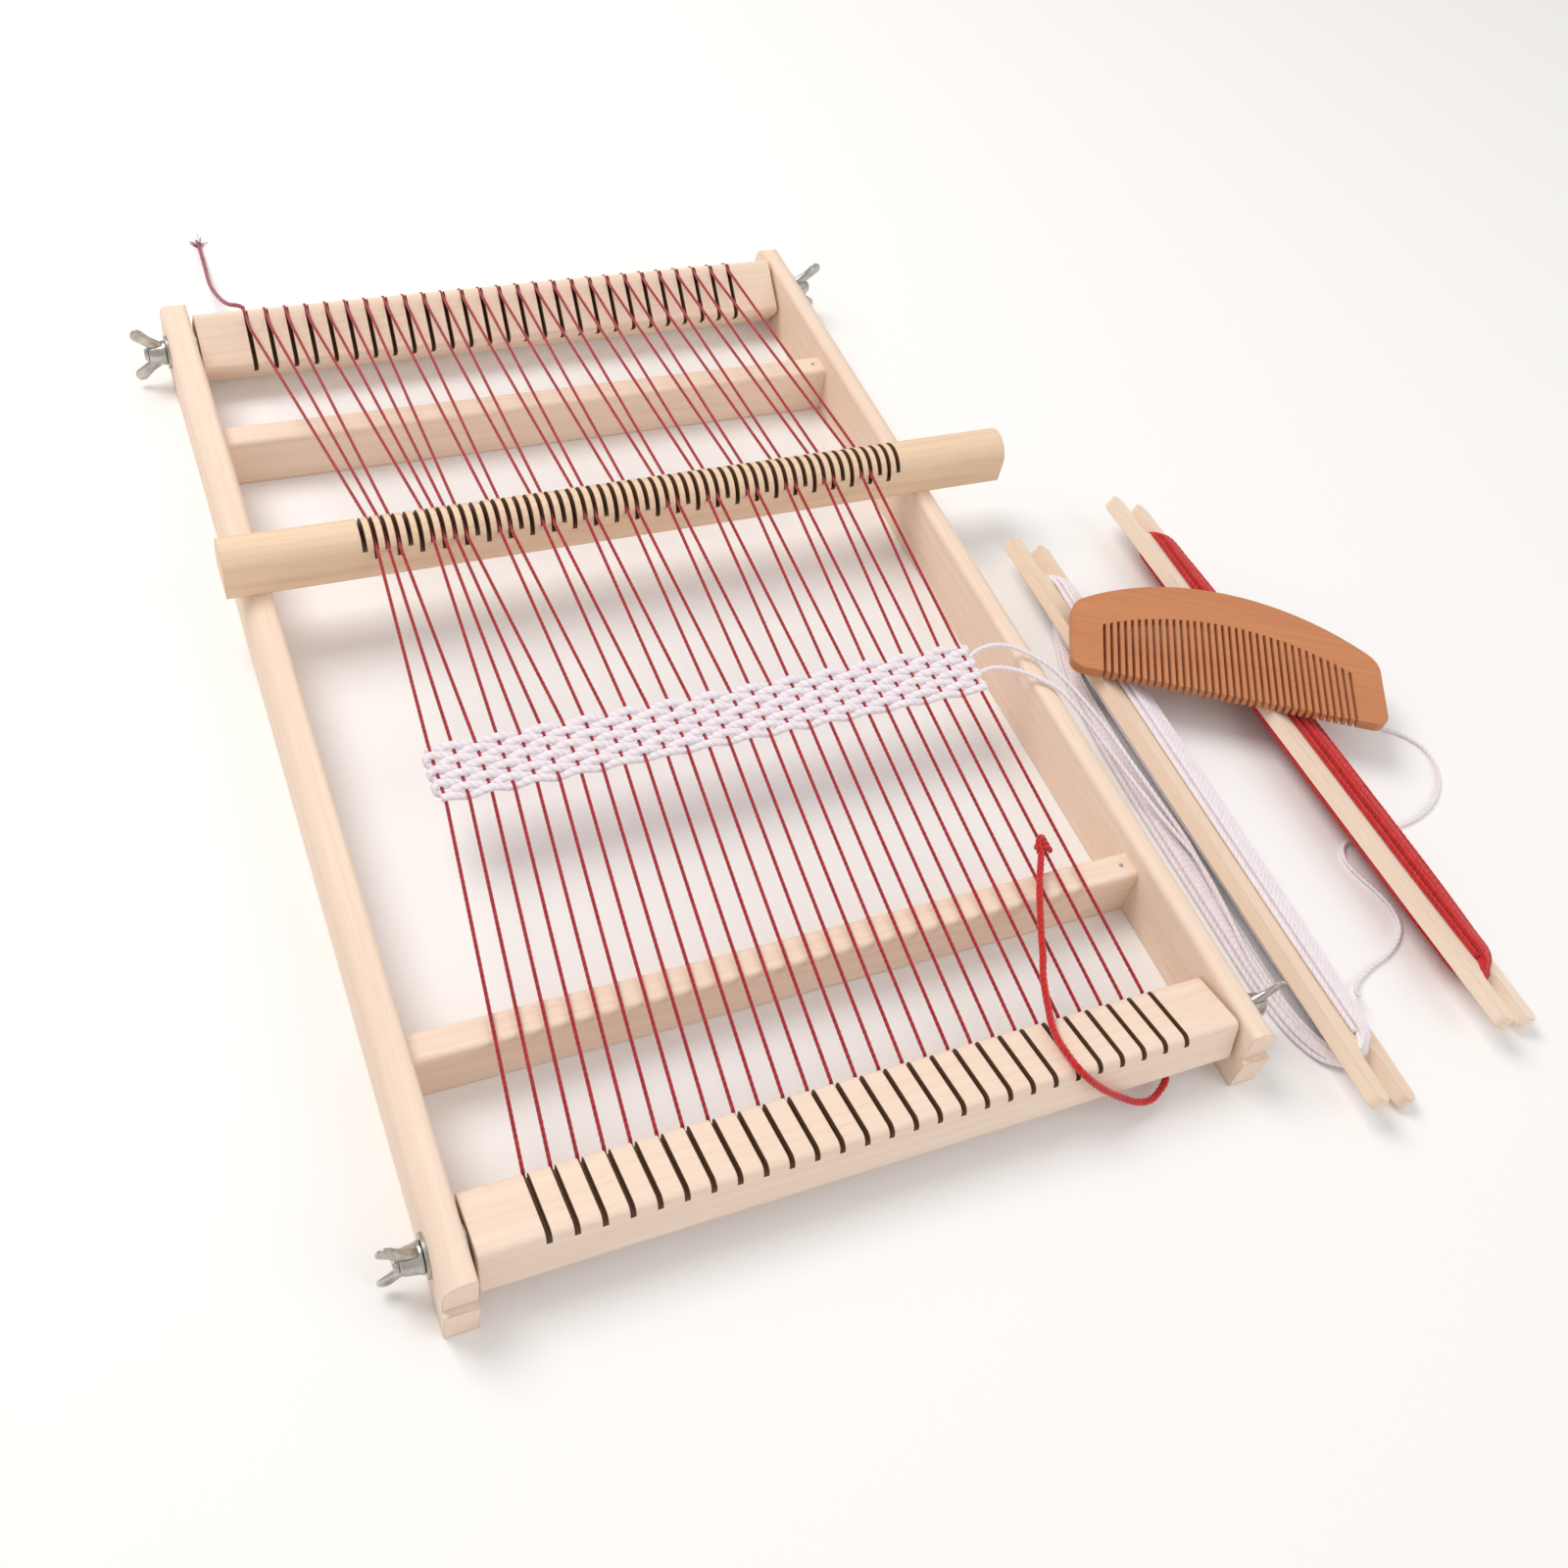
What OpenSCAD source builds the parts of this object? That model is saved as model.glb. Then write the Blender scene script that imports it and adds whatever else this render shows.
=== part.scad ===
// Beginner's table loom: a wooden frame, two slotted warp beams clamped with wing nuts,
// a slotted heddle bar, a warp with a first woven band, two stick shuttles and a comb.
// X runs along the beams, Y from the weaver to the back, Z up.
// The origin is the middle of the front stretcher's underside, on the table.

/* [Frame] */
// Length of each side rail
rail_l = 400; // [360:5:480]
// Width of the frame over both rails
frame_w = 250; // [245:1:300]
// Thickness of a rail
rail_t = 9.2; // [8:0.2:12]
// Height of a rail
rail_h = 25; // [24:0.5:32]
// Radius along a rail's outer top edge
rail_round = 6.5; // [3:0.5:7]
// Radius along a rail's inner top edge
rail_edge = 2; // [0.5:0.5:2]
// Radius of a rail's rear top corner
rail_end_round = 8; // [4:0.5:10]
// How far the toe stands out at a rail's front end
toe_l = 2; // [1:0.5:4]
// Height of the toe
toe_h = 12.5; // [8:0.5:16]
// From a rail's end to the middle of the nearer stretcher
stretcher_inset = 72.5; // [60:0.5:80]
// Thickness of a stretcher
stretcher_t = 10; // [8:0.5:12]
// Height of a stretcher
stretcher_h = 18.5; // [14:0.5:20]
// Radius along a stretcher's top edges
stretcher_round = 2; // [1:0.5:3]
// Diameter of the dowels that join the stretchers to the rails
dowel_d = 6; // [4:0.5:8]
// Length of a dowel
dowel_l = 14; // [12:1:18]
// How deep a dowel sits in its rail
dowel_in_rail = 6; // [4:0.5:7]
// Diameter of a toe nail's head
nail_d = 1.4; // [1:0.1:2]

/* [Beams] */
// Width of a beam's slotted face
beam_w = 22; // [20:0.5:23]
// Thickness of a beam under its slotted face
beam_t = 16; // [14:0.5:17]
// Radius along a beam's edges
beam_round = 2.5; // [1:0.5:3]
// From a rail's end to the nearer beam's axis
beam_inset = 17; // [16:0.5:22]
// Height of the beams' axes
beam_z = 13.5; // [13.5:0.1:15]
// How far the front beam's face leans back
front_tilt = 15; // [5:1:20]
// How far the rear beam's face leans forward
rear_tilt = 38; // [35:1:50]
// Depth of the front beam's slots
front_slot_d = 3.4; // [2.6:0.1:4]
// Depth of the rear beam's slots
rear_slot_d = 4.4; // [3:0.1:4.6]
// Width of the saw cuts in the beams and the heddle bar
slot_w = 1.5; // [1.4:0.1:2.2]

/* [Clamps] */
// Diameter of the clamp bolts
bolt_d = 4.9; // [4:0.1:6]
// How deep a bolt is held in its beam
bolt_in_beam = 16; // [12:1:18]
// Diameter of the washers
washer_d = 12; // [10:0.5:14]
// Thickness of the washers
washer_t = 1; // [0.6:0.1:1.4]
// Diameter of a wing nut's hub
hub_d = 8.6; // [8:0.1:10]
// Length of a wing nut's hub
hub_l = 6; // [5:0.5:8]
// From the bolt's axis to a wing's tip
wing_reach = 12.5; // [9:0.5:13]
// How far a wing's tip stands out past the hub's seat
wing_out = 13.5; // [9:0.5:14]
// Thickness of a wing
wing_t = 1.8; // [1.4:0.1:2.4]

/* [Heddle bar] */
// How far the bar stands out past the left rail
heddle_out = 5; // [2:1:8]
// How far the bar stands out past the right rail
heddle_over = 26; // [10:1:40]
// From the rails' front ends to the middle of the bar
heddle_y = 250; // [200:1:270]
// Width and height of the bar
heddle_w = 16; // [14:0.5:18]
// Height of the threads' seat above the bar's underside
seat_h = 11; // [9:0.5:12]
// How far the bar tips to open a shed
tip_angle = 11; // [8:1:12]

/* [Warp and web] */
// Distance between neighbouring warp threads at the beams
warp_pitch = 7.4; // [7:0.1:7.6]
// Number of warp threads
warp_count = 27; // [15:2:27]
// Diameter of the warp yarn
warp_d = 1.2; // [1:0.1:1.3]
// From the rails' front ends to the middle of the woven band
band_y = 154.5; // [130:0.5:170]
// Length of the woven band along the warp
band_l = 20; // [12:1:30]
// Thickness of the woven band
band_t = 3.4; // [3:0.1:4]
// How much the band draws the warp in at its left edge
draw_left = 10.5; // [0:0.5:12]
// How much the band draws the warp in at its right edge
draw_right = 1.5; // [0:0.5:4]

/* [Shuttles] */
// Length of a stick shuttle
shuttle_l = 247; // [220:1:260]
// Width of a stick shuttle
shuttle_w = 22; // [20:0.5:24]
// Thickness of a stick shuttle
shuttle_t = 4.5; // [4:0.5:6]
// Depth of the notch in each end
notch_l = 20; // [15:1:25]
// Width of the notch
notch_w = 9; // [7:0.5:10]
// How far a shuttle leans, its left edge up
shuttle_lean = 27; // [20:1:30]
// Width of the yarn wound on a shuttle
wound_w = 14; // [12:0.5:15]
// Thickness of the yarn wound on each face
wound_t = 4; // [3:0.5:4]

/* [Comb] */
// Length of the comb
comb_l = 115; // [105:1:125]
// Thickness of the comb
comb_t = 3.5; // [3:0.5:6]
// Height of the comb at its middle
comb_h = 52; // [48:1:56]
// Radius of the curved back
back_r = 91; // [85:1:100]
// Length of the middle teeth
tooth_l = 35; // [28:1:38]
// Radius of the arc the teeth grow from
root_r = 96; // [90:1:110]
// Distance between neighbouring teeth
tooth_pitch = 2.6; // [2:0.1:3]
// Width of the gap between two teeth
tooth_gap = 1.1; // [0.6:0.1:1.2]

/* [Hidden] */

// Colours
PINE = [0.93, 0.84, 0.74];
HEDDLE_WOOD = [0.91, 0.76, 0.60];
COMB_WOOD = [0.76, 0.48, 0.30];
STEEL = [0.62, 0.61, 0.58];
RED = [0.75, 0.08, 0.08];
WHITE = [0.94, 0.92, 0.94];

// Clearances and small fixed sizes
run_gap = 0.08;      // radial gap round a turning bolt
beam_end_gap = 1.3;  // between a rail and a beam's end, for the inner washer
yarn_gap = 0.1;      // between yarn and the wood it lies against
joint_gap = 0.1;     // between the ends of two lengths of one thread
nut_gap = 0.1;       // between a wing nut and its washer
cut = 1;             // how far a cutting tool runs past the wood
rail_flat = 0.5;     // flat left along a rail's top between its rounded edges
bolt_out = 1.5;      // bolt end past the wing nut's hub
nail_l = 6;
nail_in = 4;         // from the rail's face to the nail
blade_end_r = 2.8;   // radius of a wing's rounded end
loop_drop = 5;       // how far a rear loop runs down the beam before it crosses a tooth
red_lift = 1.7;      // room for the yarn that runs under the red shuttle
white_lift = 0.3;
lie_gap = 0.2;       // between the comb and the shuttles under it
round_fn = 48;
yarn_fn = 24;
cord_sides = 8;

// Places along Y
front_y = -stretcher_inset;
rear_y = rail_l - stretcher_inset;
rear_stretcher_y = rear_y - stretcher_inset;
front_beam_y = front_y + beam_inset;
rear_beam_y = rear_y - beam_inset;
bar_y = front_y + heddle_y;
web_y = front_y + band_y;

// Sizes that follow from others
inner_w = frame_w - 2 * rail_t;
edge_r = min(rail_edge, rail_t - rail_round - rail_flat);
beam_l = inner_w - 2 * beam_end_gap;
bar_x = -frame_w / 2 - heddle_out;
heddle_l = frame_w + heddle_out + heddle_over;
yarn_r = warp_d / 2;
lean_drop = heddle_w * tan(tip_angle);
last = warp_count - 1;
bar_pitch = warp_pitch / 2;
bar_slots = 2 * warp_count - 1;
pair_rise = yarn_r + yarn_gap;

// A place on a beam's section: u along the slotted face towards the back, v out of the face
function on_beam(y, lean, u, v) =
    [y + u * cos(lean) - v * sin(lean), beam_z + u * sin(lean) + v * cos(lean)];
function at(x, yz) = [x, yz[0], yz[1]];
function mix(a, b, t) = a + (b - a) * t;

// Where thread number i runs at the beams, in the heddle bar and in the web. In the bar the
// threads take two slots and skip two, but the first seven crowd together.
crowded = 7;
function beam_x(i) = (i - last / 2) * warp_pitch;
function bar_slot(i) =
    i < crowded ? (i < crowded / 2 - 1 ? i + 1 : i + 3) : 2 * i - 3 + i % 2;
function bar_slot_x(j) = bar_x + heddle_l / 2 + (j - (bar_slots - 1) / 2) * bar_pitch;
function thread_bar_x(i) = bar_slot_x(bar_slot(i));
function web_x(i) = mix(beam_x(0) + draw_left, beam_x(last) - draw_right, i / last);

// The warp's path in the YZ plane
out_u = beam_w / 2 + yarn_r + yarn_gap;
rear_in = on_beam(rear_beam_y, rear_tilt, out_u, beam_t / 2 - rear_slot_d + pair_rise);
rear_low = on_beam(rear_beam_y, rear_tilt, out_u, beam_t / 2 - rear_slot_d + pair_rise - loop_drop);
front_in = on_beam(front_beam_y, -front_tilt, out_u, beam_t / 2 - front_slot_d + pair_rise);
seat_z = rail_h + seat_h + pair_rise;
seat_rear = [bar_y + heddle_w / 2, seat_z];
seat_front = [bar_y - heddle_w / 2, seat_z];
slope = (seat_front[1] - front_in[1]) / (seat_front[0] - front_in[0]);
web_angle = atan(slope);
function front_z(y) = front_in[1] + (y - front_in[0]) * slope;
web_rear = [web_y + band_l / 2, front_z(web_y + band_l / 2)];
web_front = [web_y - band_l / 2, front_z(web_y - band_l / 2)];
loop_l = 14;         // length of the rear loops, slot and all
rear_out = mix(rear_in, seat_rear, loop_l / norm(seat_rear - rear_in));
rear_mid = mix(rear_in, seat_rear, 0.45);
front_mid = mix(front_in, web_front, 0.45);

// Free yarns: thickness, and the places each passes
loop_d = 2.3;
tail_d = 1.6;
weft_d = 1.6;
slack_d = 1.4;
knot_r = 2;
knot_at = [88.2, 12, front_z(12)];
loop_path = [
    [86.2, 9.5, 22.2], [82, 2.5, 22.2], [78.5, -4, 21.8], [75.5, -10.5, 21.2], [72.5, -17, 20.8],
    [69.5, -24, 20.4], [66, -31, 20.2], [63, -39, 20.4], [60, -47, 21.6], [58.5, -53, 23.2],
    [58, -60, 25.2], [58.5, -64, 25.7], [60.5, -66, 23.9], [64, -67.5, 20.2], [69.5, -69, 15.2],
    [75.5, -70, 10.2], [81, -71, 6.6], [86.5, -71, 4.8], [91, -69, 4.4], [95, -66, 4.4],
    [96.5, -62, 4.2]
];
tail_path = [
    [-96.2, 317.5, 24], [-96.5, 319, 23.9], [-98, 321, 23.3], [-100, 324.5, 21.4], [-101.2, 329.5, 19],
    [-101.8, 336.5, 15.6], [-102.3, 345, 12], [-102.5, 355, 8.1], [-102.2, 365, 5], [-101.6, 375, 2.7],
    [-101.2, 385, 1.3], [-101, 393, 0.9]
];
weft_path = [
    [96.3, 86, 28.6], [101, 88, 29.2], [107, 88.5, 29.4], [113, 87, 28.8], [119, 83, 27.6],
    [125, 77, 25.6], [130, 70, 22.4], [135, 62, 18.2], [139.5, 53, 14], [142.5, 44, 10.8],
    [144.8, 35, 8.6], [146.3, 26, 7.4], [147.2, 17, 6.9]
];
weft_tail_path = [
    [96.3, 79, 27.9], [102, 80, 28.2], [109, 78, 28], [116, 73.5, 27.2], [123, 67, 25.4],
    [129, 58, 20.5], [134, 48, 15.4], [138.5, 37.5, 11], [142.5, 26, 7.8], [145.3, 14, 6.6],
    [147.2, 4, 6.4]
];
slack_path = [
    [170.7, -60, 7.2], [172, -58.5, 5], [174.5, -56, 2.6], [178.5, -53, 1.2], [187, -49.5, 0.8],
    [194, -47.5, 0.8], [201, -44, 0.8], [206, -39, 0.8], [208, -32, 0.8], [207, -25, 0.8],
    [204.5, -17, 0.8], [203.5, -10, 0.8], [206.5, -4.5, 0.8], [213, -2.5, 0.8], [221, -2.5, 0.8],
    [229, -2.5, 0.8], [237, -2, 0.8], [245, 0, 0.8], [253, 4, 0.8], [260, 10.5, 0.8],
    [264, 18.5, 0.8], [264, 26.5, 0.8], [260, 33, 0.8], [254, 38, 0.8], [247, 42, 0.8]
];

// Places of the loose pieces
white_x = frame_w / 2 + 33.3;
white_y = 27;
red_x = white_x + 53.7;
red_y = 38;
red_turn = 1.5;      // the red shuttle lies a little askew
comb_at = [white_x + 29.8, 53.8];
comb_turn = -28.5;
winding_l = shuttle_l - 2 * notch_l + 6;
under_shift = -2;    // the yarn under a shuttle sits towards its raised edge
over_shift = 3.5;    // the yarn on top sits towards its lowered edge
wound_z = shuttle_t / 2 + wound_t / 2;
// How far a leaning shuttle and its yarn reach below and above its middle
under_reach = -(under_shift + wound_w / 2 - wound_t / 2) * sin(shuttle_lean)
    - wound_z * cos(shuttle_lean) - wound_t / 2;
edge_reach = shuttle_w / 2 * sin(shuttle_lean) + shuttle_t / 2 * cos(shuttle_lean);
shuttle_drop = max(-under_reach, edge_reach);
white_z = shuttle_drop + white_lift;
red_z = shuttle_drop + red_lift;
comb_z = red_z + edge_reach + lie_gap;

// ---- shared shapes ----

// A slab profile with four rounded corners, centred
module rounded_rect(w, h, r) {
    square([w - 2 * r, h], center = true);
    square([w, h - 2 * r], center = true);
    for (x = [-1, 1], y = [-1, 1])
        translate([x * (w / 2 - r), y * (h / 2 - r)])
            circle(r = r, $fn = round_fn);
}

// Extrudes a profile drawn in Y and Z along X, centred
module along_x(l) {
    rotate([90, 0, 90])
        linear_extrude(l, center = true)
            children();
}

// Extrudes a profile drawn in X and Z along Y, from y_from to y_to
module along_y(y_from, y_to) {
    translate([0, y_to, 0])
        rotate([90, 0, 0])
            linear_extrude(y_to - y_from)
                children();
}

// A round bar along X
module x_cylinder(l, d) {
    rotate([0, 90, 0])
        cylinder(h = l, d = d, center = true, $fn = round_fn);
}

// A flat bar with round ends between two places in a plane
module flat_bar(a, b, r) {
    d = b - a;
    for (p = [a, b])
        translate(p)
            circle(r = r, $fn = round_fn);
    translate((a + b) / 2)
        rotate(atan2(d[1], d[0]))
            square([norm(d), 2 * r], center = true);
}

// A straight length of yarn
module strand(a, b, d = warp_d) {
    v = b - a;
    l = norm(v);
    translate(a + v * (joint_gap / 2 / l))
        rotate([0, acos(v[2] / l), atan2(v[1], v[0])])
            cylinder(h = l - joint_gap, d = d, $fn = yarn_fn);
}

// Yarn laid through several places, with a full bend at each
module bent_strand(points, d = warp_d) {
    for (k = [0:len(points) - 2])
        strand(points[k], points[k + 1], d + 0.01 * k);
    for (k = [1:len(points) - 2])
        translate(points[k])
            sphere(d = d + 0.08, $fn = yarn_fn);
}

// A tube swept along a path of points
module cord(path, d, aside) {
    n = len(path);
    function unit(v) = v / norm(v);
    function heading(k) = unit(path[min(k + 1, n - 1)] - path[max(k - 1, 0)]);
    function ring(k) =
        let (t = heading(k), a = unit(cross(aside, t)), b = cross(t, a))
        [for (s = [0:cord_sides - 1]) path[k]
            + d / 2 * (a * cos(360 * s / cord_sides) + b * sin(360 * s / cord_sides))];
    points = [for (k = [0:n - 1]) each ring(k)];
    sides = [for (k = [0:n - 2], s = [0:cord_sides - 1]) let (e = (s + 1) % cord_sides)
        [k * cord_sides + s, (k + 1) * cord_sides + s, (k + 1) * cord_sides + e, k * cord_sides + e]];
    first = [for (s = [0:cord_sides - 1]) s];
    final = [for (s = [cord_sides - 1:-1:0]) (n - 1) * cord_sides + s];
    polyhedron(points = points, faces = concat([first], sides, [final]), convexity = 4);
}

// ---- frame ----

module rail_profile() {
    square([rail_t, rail_h - rail_round]);
    translate([edge_r, 0])
        square([rail_t - rail_round - edge_r, rail_h]);
    translate([0, rail_h - rail_round])
        square([edge_r + cut, rail_round - edge_r]);
    translate([edge_r, rail_h - edge_r])
        circle(r = edge_r, $fn = round_fn);
    translate([rail_t - rail_round, rail_h - rail_round])
        intersection() {
            circle(r = rail_round, $fn = round_fn);
            square(rail_round);
        }
}

// The waste outside a rail's rounded rear top corner
module rail_corner_waste() {
    translate([-cut, rear_y - rail_end_round, rail_h - rail_end_round])
        rotate([90, 0, 90])
            linear_extrude(rail_t + 2 * cut)
                difference() {
                    square(rail_end_round + cut);
                    circle(r = rail_end_round, $fn = round_fn);
                }
}

// The right rail; the left one is its mirror image
module rail() {
    translate([inner_w / 2, 0, 0])
        difference() {
            union() {
                along_y(front_y + toe_l, rear_y)
                    rail_profile();
                translate([0, front_y, 0])
                    cube([rail_t, toe_l + cut, toe_h]);
            }
            rail_corner_waste();
            for (y = [front_beam_y, rear_beam_y])
                translate([rail_t / 2, y, beam_z])
                    x_cylinder(rail_t + 2 * cut, bolt_d + 2 * run_gap);
            for (y = [0, rear_stretcher_y])
                translate([dowel_in_rail - dowel_l / 2, y, stretcher_h / 2])
                    x_cylinder(dowel_l, dowel_d);
        }
}

module left_rail() {
    color(PINE)
        mirror([1, 0, 0])
            rail();
}

module right_rail() {
    color(PINE)
        rail();
}

module stretcher(y) {
    translate([0, y, 0])
        difference() {
            along_x(inner_w) {
                translate([0, stretcher_h / 2])
                    rounded_rect(stretcher_t, stretcher_h, stretcher_round);
                translate([-stretcher_t / 2, 0])
                    square([stretcher_t, stretcher_h / 2]);
            }
            for (side = [-1, 1])
                translate([side * (inner_w / 2 + dowel_in_rail - dowel_l / 2), 0, stretcher_h / 2])
                    x_cylinder(dowel_l, dowel_d);
            nail_place()
                nail_shape();
        }
}

module front_stretcher() {
    color(PINE)
        stretcher(0);
}

module rear_stretcher() {
    color(PINE)
        stretcher(rear_stretcher_y);
}

module stretcher_dowels() {
    color(PINE)
        for (side = [-1, 1], y = [0, rear_stretcher_y])
            translate([side * (inner_w / 2 + dowel_in_rail - dowel_l / 2), y, stretcher_h / 2])
                x_cylinder(dowel_l, dowel_d);
}

// One nail is driven down into each stretcher near the right rail
module nail_place() {
    translate([inner_w / 2 - nail_in, 0, stretcher_h - nail_l])
        children();
}

module nail_shape() {
    cylinder(h = nail_l, d = nail_d, $fn = yarn_fn);
}

module toe_nails() {
    color(STEEL)
        for (y = [0, rear_stretcher_y])
            translate([0, y, 0])
                nail_place()
                    nail_shape();
}

// ---- warp beams ----

module beam(y, lean, slot_d) {
    translate([0, y, beam_z])
        rotate([lean, 0, 0])
            difference() {
                along_x(beam_l)
                    rounded_rect(beam_w, beam_t, beam_round);
                for (i = [0:last])
                    translate([beam_x(i), 0, beam_t / 2 - slot_d / 2 + cut / 2])
                        cube([slot_w, beam_w + 2 * cut, slot_d + cut], center = true);
                for (side = [-1, 1])
                    translate([side * (beam_l / 2 - bolt_in_beam / 2 + cut / 2), 0, 0])
                        x_cylinder(bolt_in_beam + cut, bolt_d);
            }
}

module front_beam() {
    color(PINE)
        beam(front_beam_y, -front_tilt, front_slot_d);
}

module rear_beam() {
    color(PINE)
        beam(rear_beam_y, rear_tilt, rear_slot_d);
}

nut_seat = frame_w / 2 + washer_t + nut_gap;
bolt_l = bolt_in_beam + nut_seat - beam_l / 2 + hub_l + bolt_out;

module bolts(y) {
    for (side = [-1, 1])
        translate([side * (beam_l / 2 - bolt_in_beam + bolt_l / 2), y, beam_z])
            x_cylinder(bolt_l, bolt_d);
}

module front_beam_bolts() {
    color(STEEL)
        bolts(front_beam_y);
}

module rear_beam_bolts() {
    color(STEEL)
        bolts(rear_beam_y);
}

module washers(x) {
    for (side = [-1, 1], y = [front_beam_y, rear_beam_y])
        translate([side * x, y, beam_z])
            difference() {
                x_cylinder(washer_t, washer_d);
                x_cylinder(washer_t + 2 * cut, bolt_d + 4 * run_gap);
            }
}

module inner_washers() {
    color(STEEL)
        washers(inner_w / 2 - washer_t / 2);
}

module outer_washers() {
    color(STEEL)
        washers(frame_w / 2 + washer_t / 2);
}

// A wing nut on the right, with its seat at x = 0
module wing_nut_shape() {
    root = [hub_l / 2, hub_d / 2 - 1];
    tip = [wing_out - blade_end_r, wing_reach - blade_end_r];
    difference() {
        union() {
            translate([hub_l / 2, 0, 0])
                x_cylinder(hub_l, hub_d);
            for (side = [0, 1])
                mirror([0, 0, side])
                    along_y(-wing_t / 2, wing_t / 2)
                        flat_bar(root, tip, blade_end_r);
        }
        translate([wing_out / 2, 0, 0])
            x_cylinder(wing_out + 2 * cut, bolt_d + 2 * run_gap);
    }
}

module wing_nut(side, y) {
    color(STEEL)
        translate([side * nut_seat, y, beam_z])
            mirror([side < 0 ? 1 : 0, 0, 0])
                wing_nut_shape();
}

// ---- heddle bar ----

// Every second slot is low at the back and high at the front, the others the other way
module heddle_slot(j) {
    back = j % 2 == 0 ? seat_h - lean_drop : seat_h;
    front = j % 2 == 0 ? seat_h : seat_h - lean_drop;
    run = (back - front) / heddle_w * cut;
    translate([bar_slot_x(j), bar_y, rail_h])
        along_x(slot_w)
            polygon([
                [-heddle_w / 2 - cut, front - run], [heddle_w / 2 + cut, back + run],
                [heddle_w / 2 + cut, heddle_w + cut], [-heddle_w / 2 - cut, heddle_w + cut]
            ]);
}

module heddle_bar() {
    color(HEDDLE_WOOD)
        difference() {
            translate([bar_x + heddle_l / 2, bar_y, rail_h])
                along_x(heddle_l) {
                    translate([-heddle_w / 2, 0])
                        square([heddle_w, heddle_w / 2]);
                    translate([0, heddle_w / 2])
                        circle(d = heddle_w, $fn = round_fn);
                }
            for (j = [0:bar_slots - 1])
                heddle_slot(j);
        }
}

// ---- warp ----

evens = [0:2:last];
odds = [1:2:last];
threads = [0:last];

// The yarn lies in the rear beam's slots and goes round every second tooth behind the beam
module warp_rear_loops() {
    color(RED) {
        for (i = [1:2:last - 1])
            bent_strand([
                at(beam_x(i), rear_out), at(beam_x(i), rear_in), at(beam_x(i), rear_low),
                at(beam_x(i + 1), rear_low), at(beam_x(i + 1), rear_in), at(beam_x(i + 1), rear_out)
            ]);
        strand(at(beam_x(0), rear_in), at(beam_x(0), rear_out));
    }
}

function rear_mid_x(i) = mix(beam_x(i), thread_bar_x(i), 0.4);

module warp_rear_span() {
    color(RED)
        for (i = threads)
            strand(at(beam_x(i), rear_out), at(rear_mid_x(i), rear_mid));
}

module back_strands(which) {
    color(RED)
        for (i = which)
            strand(at(rear_mid_x(i), rear_mid), at(thread_bar_x(i), seat_rear));
}

module warp_back_even() {
    back_strands(evens);
}

module warp_back_odd() {
    back_strands(odds);
}

module shed_strands(which) {
    color(RED)
        for (i = which)
            strand(at(thread_bar_x(i), seat_rear), at(thread_bar_x(i), seat_front));
}

module warp_shed_even() {
    shed_strands(evens);
}

module warp_shed_odd() {
    shed_strands(odds);
}

module front_strands(which) {
    color(RED)
        for (i = which)
            strand(at(thread_bar_x(i), seat_front), at(web_x(i), web_rear));
}

module warp_front_even() {
    front_strands(evens);
}

module warp_front_odd() {
    front_strands(odds);
}

module warp_in_band() {
    color(RED)
        for (i = threads)
            strand(at(web_x(i), web_rear), at(web_x(i), web_front));
}

function front_mid_x(i) = mix(beam_x(i), web_x(i), 0.45);

// From the web to the front beam: the half by the web stays, the other half follows the beam
module warp_front_span() {
    color(RED)
        for (i = threads) {
            strand(at(web_x(i), web_front), at(front_mid_x(i), front_mid));
            strand(at(front_mid_x(i), front_mid), at(beam_x(i), front_in));
        }
}

// A quarter bend of yarn in the plane of u and v, round the beam's lower back edge
module quarter_bend(r) {
    rotate([90, 0, 90])
        rotate([0, 0, -90])
            rotate_extrude(angle = 90, $fn = round_fn)
                translate([r, 0])
                    circle(d = warp_d, $fn = yarn_fn);
}

// Down the back of the front beam, round its lower edge and tucked in underneath
module warp_front_ends() {
    edge_u = beam_w / 2 - beam_round;
    edge_v = beam_round - beam_t / 2;
    bend_r = beam_round + pair_rise;
    top_v = beam_t / 2 - front_slot_d + pair_rise - 2 * yarn_r;
    tuck_l = edge_u;
    color(RED)
        translate([0, front_beam_y, beam_z])
            rotate([-front_tilt, 0, 0])
                for (i = threads)
                    translate([beam_x(i), edge_u, edge_v]) {
                        translate([0, bend_r, 0])
                            cylinder(h = top_v - edge_v, d = warp_d, $fn = yarn_fn);
                        quarter_bend(bend_r);
                        translate([0, 0, -bend_r])
                            rotate([90, 0, 0])
                                cylinder(h = tuck_l, d = warp_d, $fn = yarn_fn);
                    }
}

module woven_band() {
    edge = 1.2;
    left = web_x(0) - edge;
    right = web_x(last) + edge;
    color(WHITE)
        translate([0, web_y, front_z(web_y)])
            rotate([web_angle, 0, 0])
                difference() {
                    translate([(left + right) / 2, 0, 0])
                        cube([right - left, band_l - 2 * joint_gap, band_t], center = true);
                    for (i = threads)
                        translate([web_x(i), 0, 0])
                            rotate([90, 0, 0])
                                cylinder(h = band_l + 2 * cut, r = yarn_r + yarn_gap, center = true, $fn = yarn_fn);
                }
}

// ---- free yarns ----

module warp_knot() {
    color(RED)
        difference() {
            translate(knot_at)
                sphere(r = knot_r, $fn = round_fn);
            translate(knot_at)
                rotate([90 - web_angle, 0, 0])
                    cylinder(h = 4 * knot_r, r = yarn_r + 3 * yarn_gap, center = true, $fn = yarn_fn);
        }
}

module warp_loop() {
    color(RED)
        cord(loop_path, loop_d, [0.5, 0.3, -0.8]);
}

module warp_tail() {
    color(RED)
        cord(tail_path, tail_d, [1, 0, 0]);
}

module weft_yarn() {
    color(WHITE)
        cord(weft_path, weft_d, [0, 0.3, 1]);
}

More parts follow.
